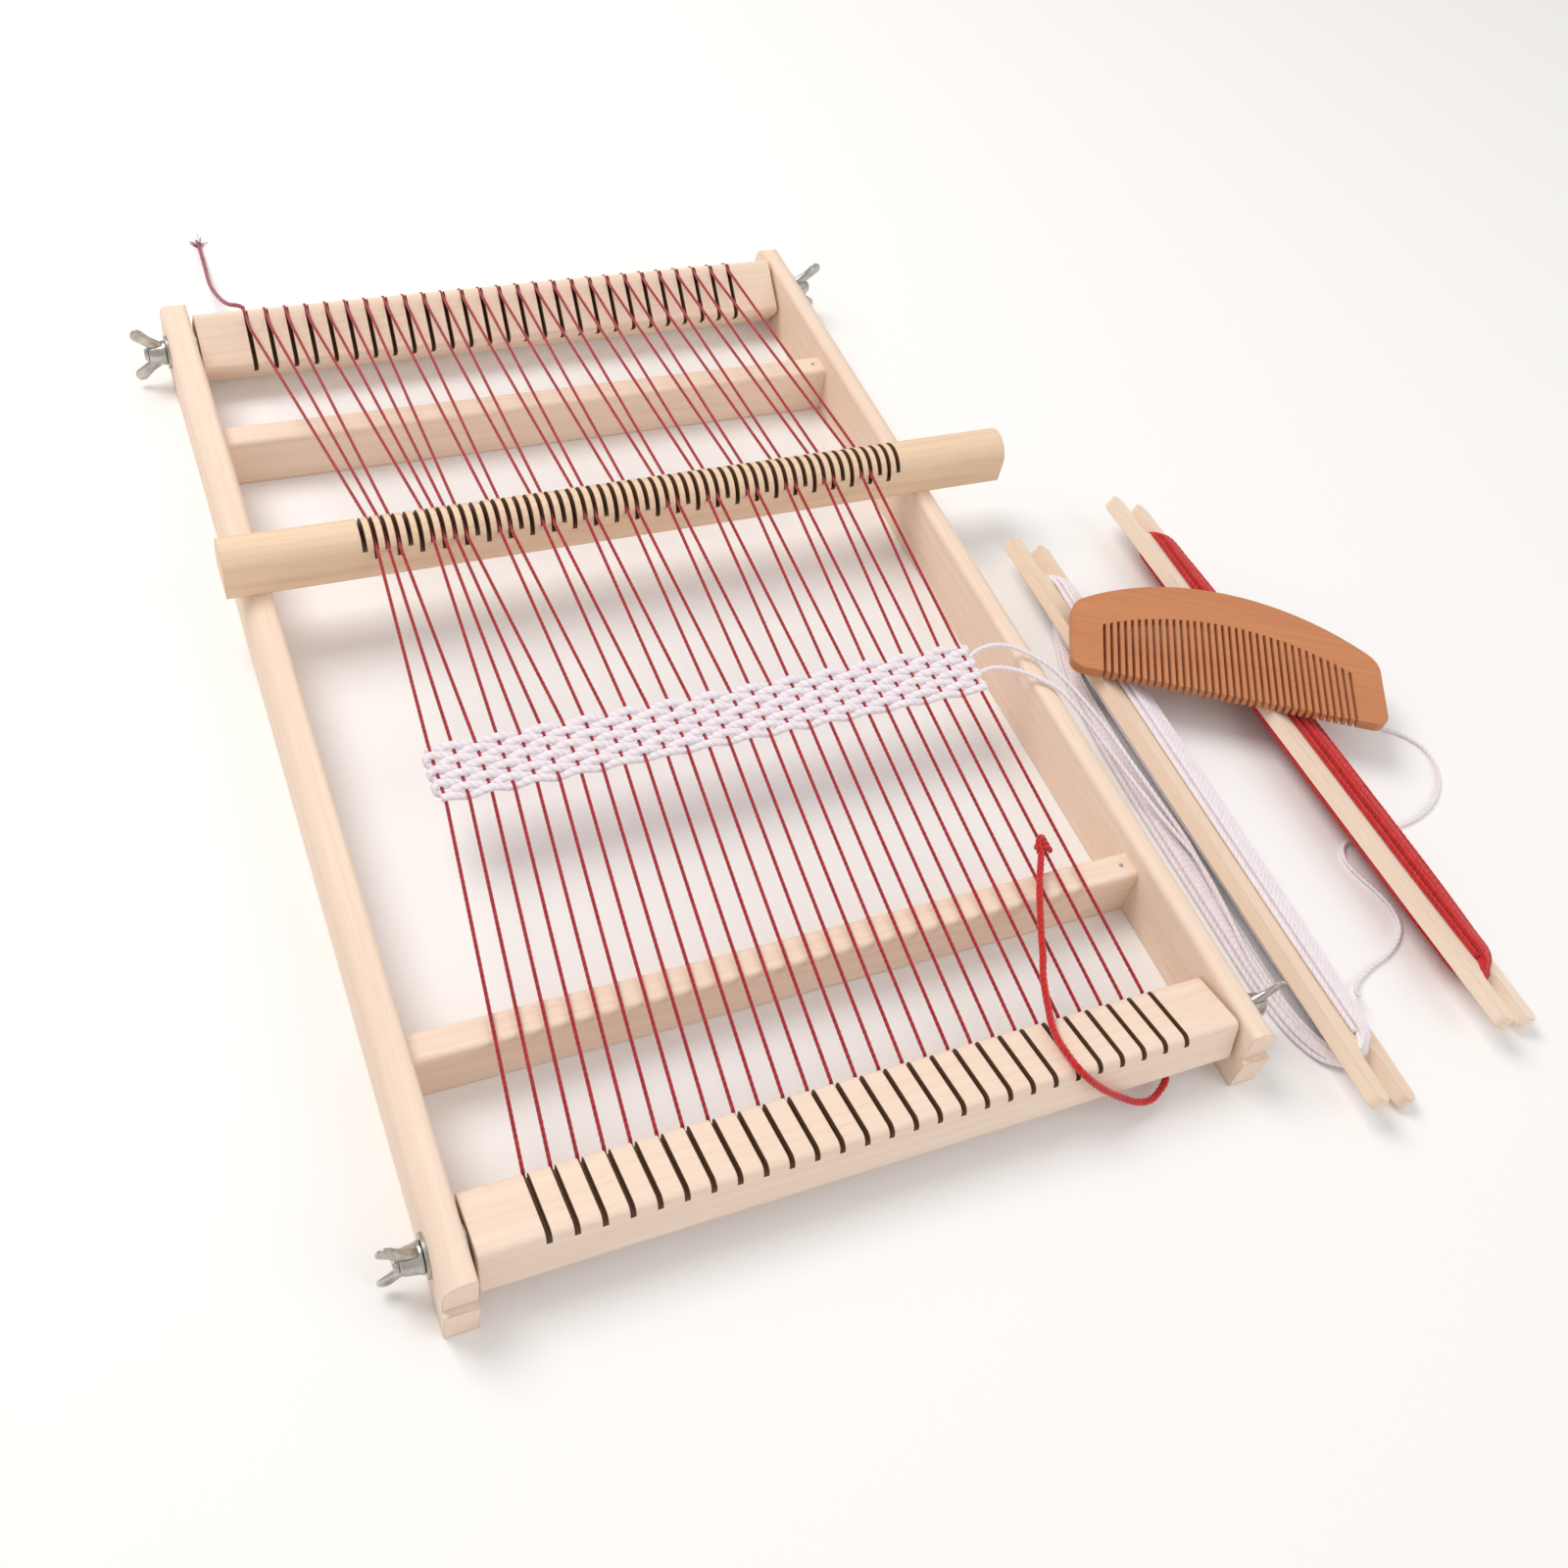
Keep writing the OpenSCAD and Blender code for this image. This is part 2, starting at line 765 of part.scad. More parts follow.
module weft_tail() {
    color(WHITE)
        cord(weft_tail_path, weft_d, [0, 0.3, 1]);
}

module shuttle_yarn() {
    color(WHITE)
        cord(slack_path, slack_d, [0, 0, 1]);
}

// ---- shuttles ----

module place_white() {
    translate([white_x, white_y, white_z])
        rotate([0, shuttle_lean, 0])
            children();
}

module place_red() {
    translate([red_x, red_y, red_z])
        rotate([0, shuttle_lean, red_turn])
            children();
}

// A flat stick with a round-bottomed notch in each end, its prongs rounded
module shuttle_shape() {
    prong_w = (shuttle_w - notch_w) / 2;
    linear_extrude(shuttle_t, center = true)
        difference() {
            union() {
                square([shuttle_w, shuttle_l - prong_w], center = true);
                for (x = [-1, 1], y = [-1, 1])
                    translate([x * (shuttle_w - prong_w) / 2, y * (shuttle_l - prong_w) / 2])
                        circle(d = prong_w, $fn = round_fn);
            }
            for (y = [-1, 1])
                mirror([0, y < 0 ? 1 : 0]) {
                    translate([-notch_w / 2, shuttle_l / 2 - notch_l + notch_w / 2])
                        square([notch_w, notch_l]);
                    translate([0, shuttle_l / 2 - notch_l + notch_w / 2])
                        circle(d = notch_w, $fn = round_fn);
                }
        }
}

// Yarn along both faces, joined through the notches
module winding_shape() {
    through_l = 4;
    for (face = [-1, 1]) {
        shift = face > 0 ? over_shift : under_shift;
        along_y(-winding_l / 2, winding_l / 2)
            flat_bar(
                [shift - wound_w / 2 + wound_t / 2, face * wound_z],
                [shift + wound_w / 2 - wound_t / 2, face * wound_z],
                wound_t / 2
            );
    }
    for (end = [-1, 1])
        translate([0, end * (winding_l / 2 - through_l / 2), 0])
            cube([notch_w - 2, through_l, shuttle_t + wound_t], center = true);
}

module white_shuttle() {
    color(PINE)
        place_white()
            shuttle_shape();
}

module white_winding() {
    color(WHITE)
        place_white()
            difference() {
                winding_shape();
                shuttle_shape();
            }
}

module red_shuttle() {
    color(PINE)
        place_red()
            shuttle_shape();
}

module red_winding() {
    color(RED)
        place_red()
            difference() {
                winding_shape();
                shuttle_shape();
            }
}

// ---- comb ----

// A disc whose top is at height h
module arc_disc(h, r) {
    translate([0, h - r])
        circle(r = r, $fn = 4 * round_fn);
}

// A curved back that runs smoothly into two rounded ends
module comb_outline() {
    end_r = 10;
    foot_r = 5;
    end_x = comb_l / 2 - end_r;
    end_y = comb_h - back_r + sqrt(pow(back_r - end_r, 2) - end_x * end_x);
    meet_x = end_x * back_r / (back_r - end_r);
    translate([0, (end_y + foot_r) / 2])
        rounded_rect(comb_l, end_y + foot_r, foot_r);
    for (side = [-1, 1])
        translate([side * end_x, end_y])
            circle(r = end_r, $fn = 2 * round_fn);
    intersection() {
        arc_disc(comb_h, back_r);
        translate([-meet_x, foot_r])
            square([2 * meet_x, comb_h]);
    }
}

module comb() {
    end_solid = 11;
    gaps = floor((comb_l - 2 * end_solid) / tooth_pitch);
    color(COMB_WOOD)
        translate([comb_at[0], comb_at[1], comb_z])
            rotate(comb_turn)
                linear_extrude(comb_t)
                    difference() {
                        comb_outline();
                        intersection() {
                            arc_disc(tooth_l, root_r);
                            for (k = [0:gaps])
                                translate([(k - gaps / 2) * tooth_pitch - tooth_gap / 2, -cut])
                                    square([tooth_gap, back_r]);
                        }
                    }
}

left_rail();
right_rail();
front_stretcher();
rear_stretcher();
stretcher_dowels();
toe_nails();
front_beam();
rear_beam();
front_beam_bolts();
rear_beam_bolts();
inner_washers();
outer_washers();
wing_nut(-1, front_beam_y);  // wing_nut_front_left
wing_nut(1, front_beam_y);  // wing_nut_front_right
wing_nut(-1, rear_beam_y);  // wing_nut_rear_left
wing_nut(1, rear_beam_y);  // wing_nut_rear_right
heddle_bar();
warp_rear_loops();
warp_rear_span();
warp_back_even();
warp_back_odd();
warp_shed_even();
warp_shed_odd();
warp_front_even();
warp_front_odd();
warp_in_band();
warp_front_span();
warp_front_ends();
woven_band();
warp_knot();
warp_loop();
warp_tail();
weft_yarn();
weft_tail();
white_shuttle();
white_winding();
red_shuttle();
red_winding();
shuttle_yarn();
comb();
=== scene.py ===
import math
import random

import bpy
import numpy as np
from mathutils import Euler, Matrix, Vector


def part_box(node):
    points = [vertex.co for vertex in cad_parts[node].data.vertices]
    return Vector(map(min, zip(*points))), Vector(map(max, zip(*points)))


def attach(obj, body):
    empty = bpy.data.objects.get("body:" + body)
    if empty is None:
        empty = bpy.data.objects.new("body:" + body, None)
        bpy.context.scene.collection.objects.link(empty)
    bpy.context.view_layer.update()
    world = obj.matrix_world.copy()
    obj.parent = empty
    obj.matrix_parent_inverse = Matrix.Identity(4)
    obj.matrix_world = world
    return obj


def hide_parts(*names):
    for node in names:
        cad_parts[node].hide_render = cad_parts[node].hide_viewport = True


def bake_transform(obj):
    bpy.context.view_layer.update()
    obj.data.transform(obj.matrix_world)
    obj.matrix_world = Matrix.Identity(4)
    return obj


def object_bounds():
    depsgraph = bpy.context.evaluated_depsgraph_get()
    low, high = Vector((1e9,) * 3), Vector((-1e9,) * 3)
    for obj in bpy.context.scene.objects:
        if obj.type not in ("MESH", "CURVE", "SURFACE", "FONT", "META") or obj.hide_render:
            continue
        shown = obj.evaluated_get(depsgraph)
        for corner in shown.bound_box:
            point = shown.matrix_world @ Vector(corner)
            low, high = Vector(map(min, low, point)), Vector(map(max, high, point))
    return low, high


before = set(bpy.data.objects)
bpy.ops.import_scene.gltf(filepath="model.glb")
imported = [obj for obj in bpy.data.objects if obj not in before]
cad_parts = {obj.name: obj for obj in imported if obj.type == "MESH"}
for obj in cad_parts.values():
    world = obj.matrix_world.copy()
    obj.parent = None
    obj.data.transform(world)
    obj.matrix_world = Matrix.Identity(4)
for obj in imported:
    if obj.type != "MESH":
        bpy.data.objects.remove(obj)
CAD_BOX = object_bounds()
MM = 0.001


# ---------------------------------------------------------------- sizes of the design, in metres

BEAM_Z = 0.0135
BEAM_W, BEAM_T = 0.022, 0.016
FRONT_BEAM_Y, REAR_BEAM_Y = -0.0555, 0.3105
FRONT_TILT, REAR_TILT = 15, 38
FRONT_CUT, REAR_CUT = 0.0034, 0.0044
# The second of these is how far below a cut's floor the dark colour inside the cut reaches.
CUT_HALF, CUT_DARK_SKIN = 0.0008, 0.00005
WARP_PITCH, WARP_COUNT = 0.0074, 27
WARP_D, WARP_LAY = 0.0012, 0.0038
BAR_PITCH, BAR_SLOTS, BAR_MID = WARP_PITCH / 2, 2 * WARP_COUNT - 1, 0.0105
BAR_Y, BAR_W, BAR_DROP = 0.1775, 0.016, 0.00311
SEAT_Z = 0.036
BAND_Y, BAND_L = 0.082, 0.020


# ---------------------------------------------------------------- camera, floor and light

def aim_camera():
    """The camera looks down at the loom from its front left corner, rolled a little."""
    azimuth, elevation, roll = map(math.radians, (-33.498, 49.977, 14.57))
    back = Vector((
        math.sin(azimuth) * math.cos(elevation),
        -math.cos(azimuth) * math.cos(elevation),
        math.sin(elevation),
    ))
    level = (-back).cross(Vector((0, 0, 1))).normalized()
    upright = level.cross(-back)
    right = math.cos(roll) * level + math.sin(roll) * upright
    up = -math.sin(roll) * level + math.cos(roll) * upright
    data = bpy.data.cameras.new("camera")
    data.sensor_width = 36
    data.lens = 38.335
    data.clip_start, data.clip_end = 0.01, 20
    camera = bpy.data.objects.new("camera", data)
    bpy.context.scene.collection.objects.link(camera)
    camera.matrix_world = (
        Matrix.Translation((-0.16806, -0.22393, 0.42180))
        @ Matrix((right, up, back)).transposed().to_4x4()
    )
    bpy.context.scene.camera = camera


def area_light(name, place, target, size, watts, color):
    data = bpy.data.lights.new(name, "AREA")
    data.shape = "DISK"
    data.size = size
    data.energy = watts
    data.color = color
    light = bpy.data.objects.new(name, data)
    light.location = place
    light.rotation_euler = (Vector(target) - Vector(place)).to_track_quat("-Z", "Y").to_euler()
    bpy.context.scene.collection.objects.link(light)


def light_studio():
    scene = bpy.context.scene
    scene.view_settings.view_transform = "Standard"
    world = bpy.data.worlds.new("studio")
    world.use_nodes = True
    background = world.node_tree.nodes["Background"]
    background.inputs["Color"].default_value = (1.0, 0.985, 0.97, 1)
    background.inputs["Strength"].default_value = 0.62
    scene.world = world
    middle = (0.03, 0.12, 0)
    area_light("key", (-0.55, 0.75, 1.3), middle, 0.9, 13, (1, 0.97, 0.94))
    area_light("fill", (0.9, -0.9, 1.0), middle, 1.2, 5, (0.97, 0.98, 1))


def floor():
    size = 6.0
    mesh = bpy.data.meshes.new("floor")
    corners = [(-size, -size, 0), (size, -size, 0), (size, size, 0), (-size, size, 0)]
    mesh.from_pydata(corners, [], [(0, 1, 2, 3)])
    piece = bpy.data.objects.new("floor", mesh)
    piece.location.z = CAD_BOX[0].z - 0.0002
    bpy.context.scene.collection.objects.link(piece)
    paint = Paint("floor", (0.92, 0.915, 0.91))
    paint.bsdf.inputs["Roughness"].default_value = 0.7
    piece.data.materials.append(paint.material)


# ---------------------------------------------------------------- materials

class Paint:
    """A material and short calls for the nodes in it. Places are the loom's, in metres."""

    def __init__(self, name, base):
        self.material = bpy.data.materials.new(name)
        self.material.use_nodes = True
        self.tree = self.material.node_tree
        self.bsdf = self.tree.nodes["Principled BSDF"]
        self.bsdf.inputs["Base Color"].default_value = (*base, 1)

    def put(self, socket, value):
        if isinstance(value, bpy.types.NodeSocket):
            self.tree.links.new(value, socket)
        else:
            socket.default_value = value

    def node(self, kind, out=0, **settings):
        made = self.tree.nodes.new("ShaderNode" + kind)
        inputs = settings.pop("inputs", {})
        for key, value in settings.items():
            setattr(made, key, value)
        for key, value in inputs.items():
            self.put(made.inputs[key], value)
        return made.outputs[out]

    def math(self, operation, a, b=0.0, clamp=False):
        return self.node("Math", operation=operation, use_clamp=clamp, inputs={0: a, 1: b})

    def parts(self, vector):
        """The x, y and z of a vector."""
        return self.node("SeparateXYZ", inputs={0: vector}).node.outputs[:3]

    def place(self):
        return self.node("TexCoord", out=3)

    def moved(self, vector, scale=(1, 1, 1), turn=(0, 0, 0), offset=(0, 0, 0)):
        return self.node(
            "Mapping",
            inputs={"Vector": vector, "Scale": scale, "Rotation": turn, "Location": offset},
        )

    def noise(self, vector, scale, detail, rough):
        return self.node(
            "TexNoise",
            inputs={"Vector": vector, "Scale": scale, "Detail": detail, "Roughness": rough},
        )

    def ramp(self, value, low, high, low_out=0.0, high_out=1.0):
        return self.node(
            "MapRange",
            clamp=True,
            inputs={0: value, 1: low, 2: high, 3: low_out, 4: high_out},
        )

    def mix(self, share, a, b):
        made = self.tree.nodes.new("ShaderNodeMix")
        made.data_type = "RGBA"
        for key, value in ((0, share), (6, a), (7, b)):
            if isinstance(value, tuple):
                value = (*value, 1)
            self.put(made.inputs[key], value)
        return made.outputs[2]

    def bump(self, height, strength, distance, normal=None):
        inputs = {"Height": height, "Strength": strength, "Distance": distance}
        if normal is not None:
            inputs["Normal"] = normal
        return self.node("Bump", inputs=inputs)

    def set(self, **sockets):
        for key, value in sockets.items():
            self.put(self.bsdf.inputs[key.replace("_", " ")], value)


def grain_turn(axis, turn):
    """Turns a piece's own grain direction onto X."""
    return (0, 0, -turn if axis == "x" else -turn - math.pi / 2)


HEART_DEPTH = 0.045    # how far the rings' centre lies below zero in a board's own grain
RING_RATE = 2100.0     # radians of ring pattern to a metre, which is a ring every 3 mm


def wood(name, light, dark, axis="x", turn=0.0, seed=0.0, gloss=0.62, contrast=1.0, cuts=None):
    """Bare sanded wood: growth rings cut lengthways, streaks, fine pores and softened edges.
    cuts is a function of the paint that marks the saw cuts, which are coloured dark brown inside."""
    paint = Paint(name, light)
    own = paint.moved(paint.place(), turn=grain_turn(axis, turn), offset=(seed, seed * 0.7, seed * 0.3))
    along = paint.moved(own, scale=(0.05, 1, 1))
    wander = paint.noise(paint.moved(own, scale=(0.12, 1, 1)), 28, 3, 0.55)
    _, beside, above = paint.parts(own)
    wide = paint.math("MULTIPLY", beside, beside)
    tall = paint.math("POWER", paint.math("ADD", above, HEART_DEPTH), 2.0)
    radius = paint.math("SQRT", paint.math("ADD", wide, tall))
    rings = paint.math(
        "SINE",
        paint.math("ADD", paint.math("MULTIPLY", radius, RING_RATE), paint.math("MULTIPLY", wander, 15.0)),
    )
    late = paint.ramp(rings, 0.1, 1.0)
    streak = paint.noise(along, 420, 4, 0.6)
    broad = paint.noise(along, 60, 2, 0.5)
    pores = paint.ramp(paint.noise(paint.moved(own, scale=(0.035, 1, 1)), 2600, 2, 0.5), 0.62, 0.75)
    shade = paint.math(
        "ADD",
        paint.math("MULTIPLY", late, 0.16 * contrast),
        paint.math(
            "ADD",
            paint.math("MULTIPLY", paint.ramp(streak, 0.3, 0.75), 0.38 * contrast),
            paint.math("MULTIPLY", paint.ramp(broad, 0.3, 0.7), 0.30 * contrast),
        ),
        clamp=True,
    )
    color = paint.mix(shade, light, dark)
    pore_tone = tuple(0.72 * v for v in dark)
    color = paint.mix(paint.math("MULTIPLY", pores, 0.35), color, pore_tone)
    rough = paint.math("ADD", gloss, paint.math("MULTIPLY", streak, 0.16))
    if cuts is not None:
        # Dark brown colour inside the saw cuts, on their walls and floors, mottled at random.
        cut_dark_mask = cuts(paint)
        cut_dark_mottle = paint.noise(paint.place(), 900, 3, 0.6)
        cut_dark_color = paint.mix(cut_dark_mottle, (0.085, 0.036, 0.017), (0.27, 0.15, 0.085))
        color = paint.mix(cut_dark_mask, color, cut_dark_color)
    soft = paint.node("Bevel", inputs={"Radius": 0.0005}, samples=3)
    height = paint.math(
        "ADD",
        paint.math("MULTIPLY", streak, 0.6),
        paint.math("SUBTRACT", paint.math("MULTIPLY", late, 0.25), pores),
    )
    paint.set(
        Base_Color=color,
        Roughness=rough,
        Normal=paint.bump(height, 0.35, 0.00008, soft),
        Specular_IOR_Level=0.35,
    )
    return paint.material


def even_cuts(pitch, count, middle=0.0):
    """Marks evenly spaced cuts across X about the middle, and gives the cut's number as well."""

    def mark(paint):
        x, y, z = paint.parts(paint.place())
        x = paint.math("SUBTRACT", x, middle)
        number = paint.math("ROUND", paint.math("ADD", paint.math("DIVIDE", x, pitch), (count - 1) / 2))
        centre = paint.math("MULTIPLY", paint.math("SUBTRACT", number, (count - 1) / 2), pitch)
        aside = paint.math("ABSOLUTE", paint.math("SUBTRACT", x, centre))
        inside = paint.math("LESS_THAN", aside, CUT_HALF)
        first = paint.math("GREATER_THAN", number, -0.5)
        final = paint.math("LESS_THAN", number, count - 0.5)
        inside = paint.math("MULTIPLY", inside, paint.math("MULTIPLY", first, final))
        return inside, number, y, z

    return mark


def beam_cuts(axis_y, lean, depth):
    """The dark-coloured cuts in a warp beam: depth metres into the face that leans by lean degrees."""

    def mark(paint):
        inside, _, y, z = even_cuts(WARP_PITCH, WARP_COUNT)(paint)
        tilt = math.radians(lean)
        out = paint.math(
            "ADD",
            paint.math("MULTIPLY", paint.math("SUBTRACT", y, axis_y), -math.sin(tilt)),
            paint.math("MULTIPLY", paint.math("SUBTRACT", z, BEAM_Z), math.cos(tilt)),
        )
        floor_out = BEAM_T / 2 - depth - CUT_DARK_SKIN
        return paint.math("MULTIPLY", inside, paint.math("GREATER_THAN", out, floor_out))

    return mark


def heddle_cuts(paint):
    """The dark-coloured cuts in the heddle bar, whose floors slope one way and then the other."""
    inside, number, y, z = even_cuts(BAR_PITCH, BAR_SLOTS, BAR_MID)(paint)
    odd = paint.math("PINGPONG", number, 1.0)
    share = paint.math("DIVIDE", paint.math("SUBTRACT", y, BAR_Y - BAR_W / 2), BAR_W)
    low_at_front = paint.math("SUBTRACT", 1.0, share)
    drop = paint.math(
        "ADD",
        paint.math("MULTIPLY", odd, low_at_front),
        paint.math("MULTIPLY", paint.math("SUBTRACT", 1.0, odd), share),
    )
    floor_z = paint.math("SUBTRACT", SEAT_Z - CUT_DARK_SKIN, paint.math("MULTIPLY", drop, BAR_DROP))
    return paint.math("MULTIPLY", inside, paint.math("GREATER_THAN", z, floor_z))


def steel(name, base, rough):
    """Bright zinc plate: faint mottling, fine scratches and duller patches."""
    paint = Paint(name, base)
    place = paint.place()
    patch = paint.noise(place, 260, 4, 0.6)
    grit = paint.noise(place, 4200, 2, 0.6)
    scratch = paint.noise(paint.moved(place, scale=(0.15, 1, 1)), 3200, 2, 0.7)
    color = paint.mix(paint.ramp(patch, 0.35, 0.7), base, tuple(0.62 * v for v in base))
    height = paint.math("ADD", paint.math("MULTIPLY", grit, 0.4), scratch)
    paint.set(
        Base_Color=color,
        Metallic=1.0,
        Roughness=paint.ramp(patch, 0.3, 0.75, rough, rough + 0.22),
        Normal=paint.bump(height, 0.35, 0.00005, paint.node("Bevel", inputs={"Radius": 0.0003}, samples=3)),
    )
    return paint.material


def yarn(name, base, ply_shade_and_mottle, tips, sheen=0.35):
    """Spun yarn: painted shade between its plies, mottled fibres and a soft sheen."""
    paint = Paint(name, base)
    place = paint.place()
    relief = paint.node("Attribute", out=2, attribute_name="relief")
    fibre = paint.noise(place, 5200, 3, 0.65)
    slub = paint.noise(place, 320, 3, 0.6)
    # Painted shade: the colour goes to the darker second colour between the plies, where relief is low, and
    # fibre noise mottles it at random.
    tone = paint.math(
        "ADD",
        paint.math("MULTIPLY", relief, 0.75),
        paint.math("MULTIPLY", paint.math("SUBTRACT", fibre, 0.5), 0.7),
        clamp=True,
    )
    color = paint.mix(tone, ply_shade_and_mottle, base)
    color = paint.mix(paint.ramp(slub, 0.45, 0.8, 0.0, 0.5), color, tips)
    paint.set(
        Base_Color=color,
        Roughness=paint.ramp(fibre, 0.2, 0.8, 0.78, 0.98),
        Normal=paint.bump(fibre, 0.55, 0.00018),
        Sheen_Weight=sheen,
        Sheen_Roughness=0.55,
        Specular_IOR_Level=0.2,
    )
    return paint.material


# ---------------------------------------------------------------- yarn

FIBRE_D, FRAY_D = 0.00006, 0.00022
TABLE_GAP = 0.00005


def distances(line):
    """How far along a line each of its points is."""
    return np.concatenate([[0], np.cumsum(np.linalg.norm(np.diff(line, axis=0), axis=1))])


def directions(line):
    """The unit direction of a line at each of its points."""
    ahead = np.gradient(line, axis=0)
    return ahead / np.linalg.norm(ahead, axis=1)[:, None]


def resampled(points, step):
    """Evenly spaced points along a broken line."""
    points = np.asarray(points, float)
    along = distances(points)
    wanted = np.linspace(0, along[-1], max(3, round(along[-1] / step) + 1))
    return np.stack([np.interp(wanted, along, points[:, k]) for k in range(3)], axis=1)


def smooth(points, step):
    """A smooth curve through given points, resampled."""
    p = np.asarray(points, float)
    p = np.vstack([2 * p[0] - p[1], p, 2 * p[-1] - p[-2]])
    line = []
    for a, b, c, d in zip(p, p[1:], p[2:], p[3:]):
        for t in np.linspace(0, 1, 12, endpoint=False):
            line.append(0.5 * (
                2 * b + (c - a) * t + (2 * a - 5 * b + 4 * c - d) * t ** 2
                + (3 * b - a - 3 * c + d) * t ** 3
            ))
    line.append(p[-2])
    return resampled(line, step)


def rounded(points, reach):
    """A broken line with each corner rounded over reach metres on both sides."""
    p = [np.asarray(q, float) for q in points]
    line = [p[0]]
    for a, b, c in zip(p, p[1:], p[2:]):
        before = b + (a - b) * min(0.45, reach / np.linalg.norm(a - b))
        after = b + (c - b) * min(0.45, reach / np.linalg.norm(c - b))
        for t in np.linspace(0, 1, 7):
            line.append((1 - t) ** 2 * before + 2 * t * (1 - t) * b + t ** 2 * after)
    line.append(p[-1])
    return line


def frames(line):
    """Two directions across a line at each of its points, turned as little as possible."""
    ahead = directions(line)
    last = np.array([0, 0, 1.0]) if abs(ahead[0][2]) < 0.8 else np.array([1.0, 0, 0])
    across = np.zeros_like(line)
    for k, t in enumerate(ahead):
        last = last - t * (last @ t)
        last /= np.linalg.norm(last)
        across[k] = last
    return across, np.cross(ahead, across)


class YarnMesh:
    """Collects tubes of plied yarn into one mesh. relief is 0 between plies and 1 on them."""

    def __init__(self):
        self.points, self.faces, self.relief = [], [], []
        self.count = 0

    def tube(self, line, d, plies=2, lay=0.0042, depth=0.2, sides=10, phase=0.0, seed=0,
             uneven=0.04, flat=1.0, flat_dir=None):
        """One yarn along a line. lay is how far a ply takes to go round, depth how deep the plies
        part, and flat squeezes the yarn at right angles to flat_dir."""
        n = len(line)
        if flat_dir is None:
            across, beside = frames(line)
        else:
            ahead = directions(line)
            across = np.tile(np.asarray(flat_dir, float), (n, 1))
            across -= ahead * (across * ahead).sum(1)[:, None]
            across /= np.linalg.norm(across, axis=1)[:, None]
            beside = np.cross(ahead, across)
        along = distances(line)
        rng = np.random.default_rng(seed)
        waves = rng.uniform(0, 2 * np.pi, 3)
        slub = sum(
            np.sin(along / length * 2 * np.pi + wave) for length, wave in zip((0.011, 0.0067, 0.0029), waves)
        ) / 3
        radius = d / 2 * (1 + uneven * slub)
        angle = np.arange(sides) / sides * 2 * np.pi
        turn = 2 * np.pi * along / lay + phase
        bulge = np.abs(np.cos(plies * (angle[None, :] - turn[:, None]) / 2))
        r = radius[:, None] * (1 - depth + depth * bulge)
        ring = (
            line[:, None, :]
            + (r * np.cos(angle))[:, :, None] * across[:, None, :]
            + (r * np.sin(angle) * flat)[:, :, None] * beside[:, None, :]
        )
        base = self.count
        self.points.append(ring.reshape(-1, 3))
        self.relief.append(bulge.reshape(-1))
        k, s = np.meshgrid(np.arange(n - 1), np.arange(sides), indexing="ij")
        e = (s + 1) % sides
        quads = np.stack(
            [k * sides + s, k * sides + e, (k + 1) * sides + e, (k + 1) * sides + s], axis=-1
        ).reshape(-1, 4) + base
        self.faces += quads.tolist()
        self.faces.append([base + i for i in range(sides - 1, -1, -1)])
        self.faces.append([base + (n - 1) * sides + i for i in range(sides)])
        self.count += n * sides

    def fuzz(self, line, d, count, length, seed=0):
        """Loose fibres that curl off the yarn, as thin three-sided tubes."""
        rng = np.random.default_rng(seed)
        across, beside = frames(line)
        ahead = directions(line)
        for _ in range(count):
            k = rng.integers(0, len(line))
            a = rng.uniform(0, 2 * np.pi)
            out = across[k] * np.cos(a) + beside[k] * np.sin(a)
            side = ahead[k] * rng.choice([-1, 1]) + rng.normal(0, 0.35, 3)
            reach = length * rng.uniform(0.4, 1.0)
            start = line[k] + out * d * 0.36
            hair = [
                start + out * reach * (t - 0.45 * t * t) + side * reach * 0.8 * t
                for t in np.linspace(0, 1, 4)
            ]
            self.tube(np.array(hair), FIBRE_D, plies=1, depth=0.0, sides=3, uneven=0.0)

    def piece(self, name, material, slot_name):
        """Makes the Blender object, with nothing sunk into the table."""
        mesh = bpy.data.meshes.new(name)
        points = np.concatenate(self.points)
        points[:, 2] = np.maximum(points[:, 2], TABLE_GAP)
        mesh.from_pydata(points.tolist(), [], self.faces)
        attribute = mesh.attributes.new("relief", "FLOAT", "POINT")
        attribute.data.foreach_set("value", np.concatenate(self.relief).astype(np.float32))
        mesh.shade_smooth()
        made = bpy.data.objects.new(name, mesh)
        bpy.context.scene.collection.objects.link(made)
        mesh.materials.append(material)
        return made


# ---------------------------------------------------------------- free cords

LOOP_PATH = [
    (86.2, 9.5, 22.2), (82, 2.5, 22.2), (78.5, -4, 21.8), (75.5, -10.5, 21.2), (72.5, -17, 20.8),
    (69.5, -24, 20.4), (66, -31, 20.2), (63, -39, 20.4), (60, -47, 21.6), (58.5, -53, 23.2),
    (58, -60, 25.2), (58.5, -64, 25.7), (60.5, -66, 23.9), (64, -67.5, 20.2), (69.5, -69, 15.2),
    (75.5, -70, 10.2), (81, -71, 6.6), (86.5, -71, 4.8), (91, -69, 4.4), (95, -66, 4.4),
    (96.5, -62, 4.2),
]
TAIL_PATH = [
    (-96.2, 317.5, 24), (-96.5, 319, 23.9), (-98, 321, 23.3), (-100, 324.5, 21.4), (-101.2, 329.5, 19),
    (-101.8, 336.5, 15.6), (-102.3, 345, 12), (-102.5, 355, 8.1), (-102.2, 365, 5), (-101.6, 375, 2.7),
    (-101.2, 385, 1.3), (-101, 393, 0.9),
]
WEFT_PATH = [
    (96.3, 86, 28.6), (101, 88, 29.2), (107, 88.5, 29.4), (113, 87, 28.8), (119, 83, 27.6),
    (125, 77, 25.6), (130, 70, 22.4), (135, 62, 18.2), (139.5, 53, 14), (142.5, 44, 10.8),
    (144.8, 35, 8.6), (146.3, 26, 7.4), (147.2, 17, 6.9),
]
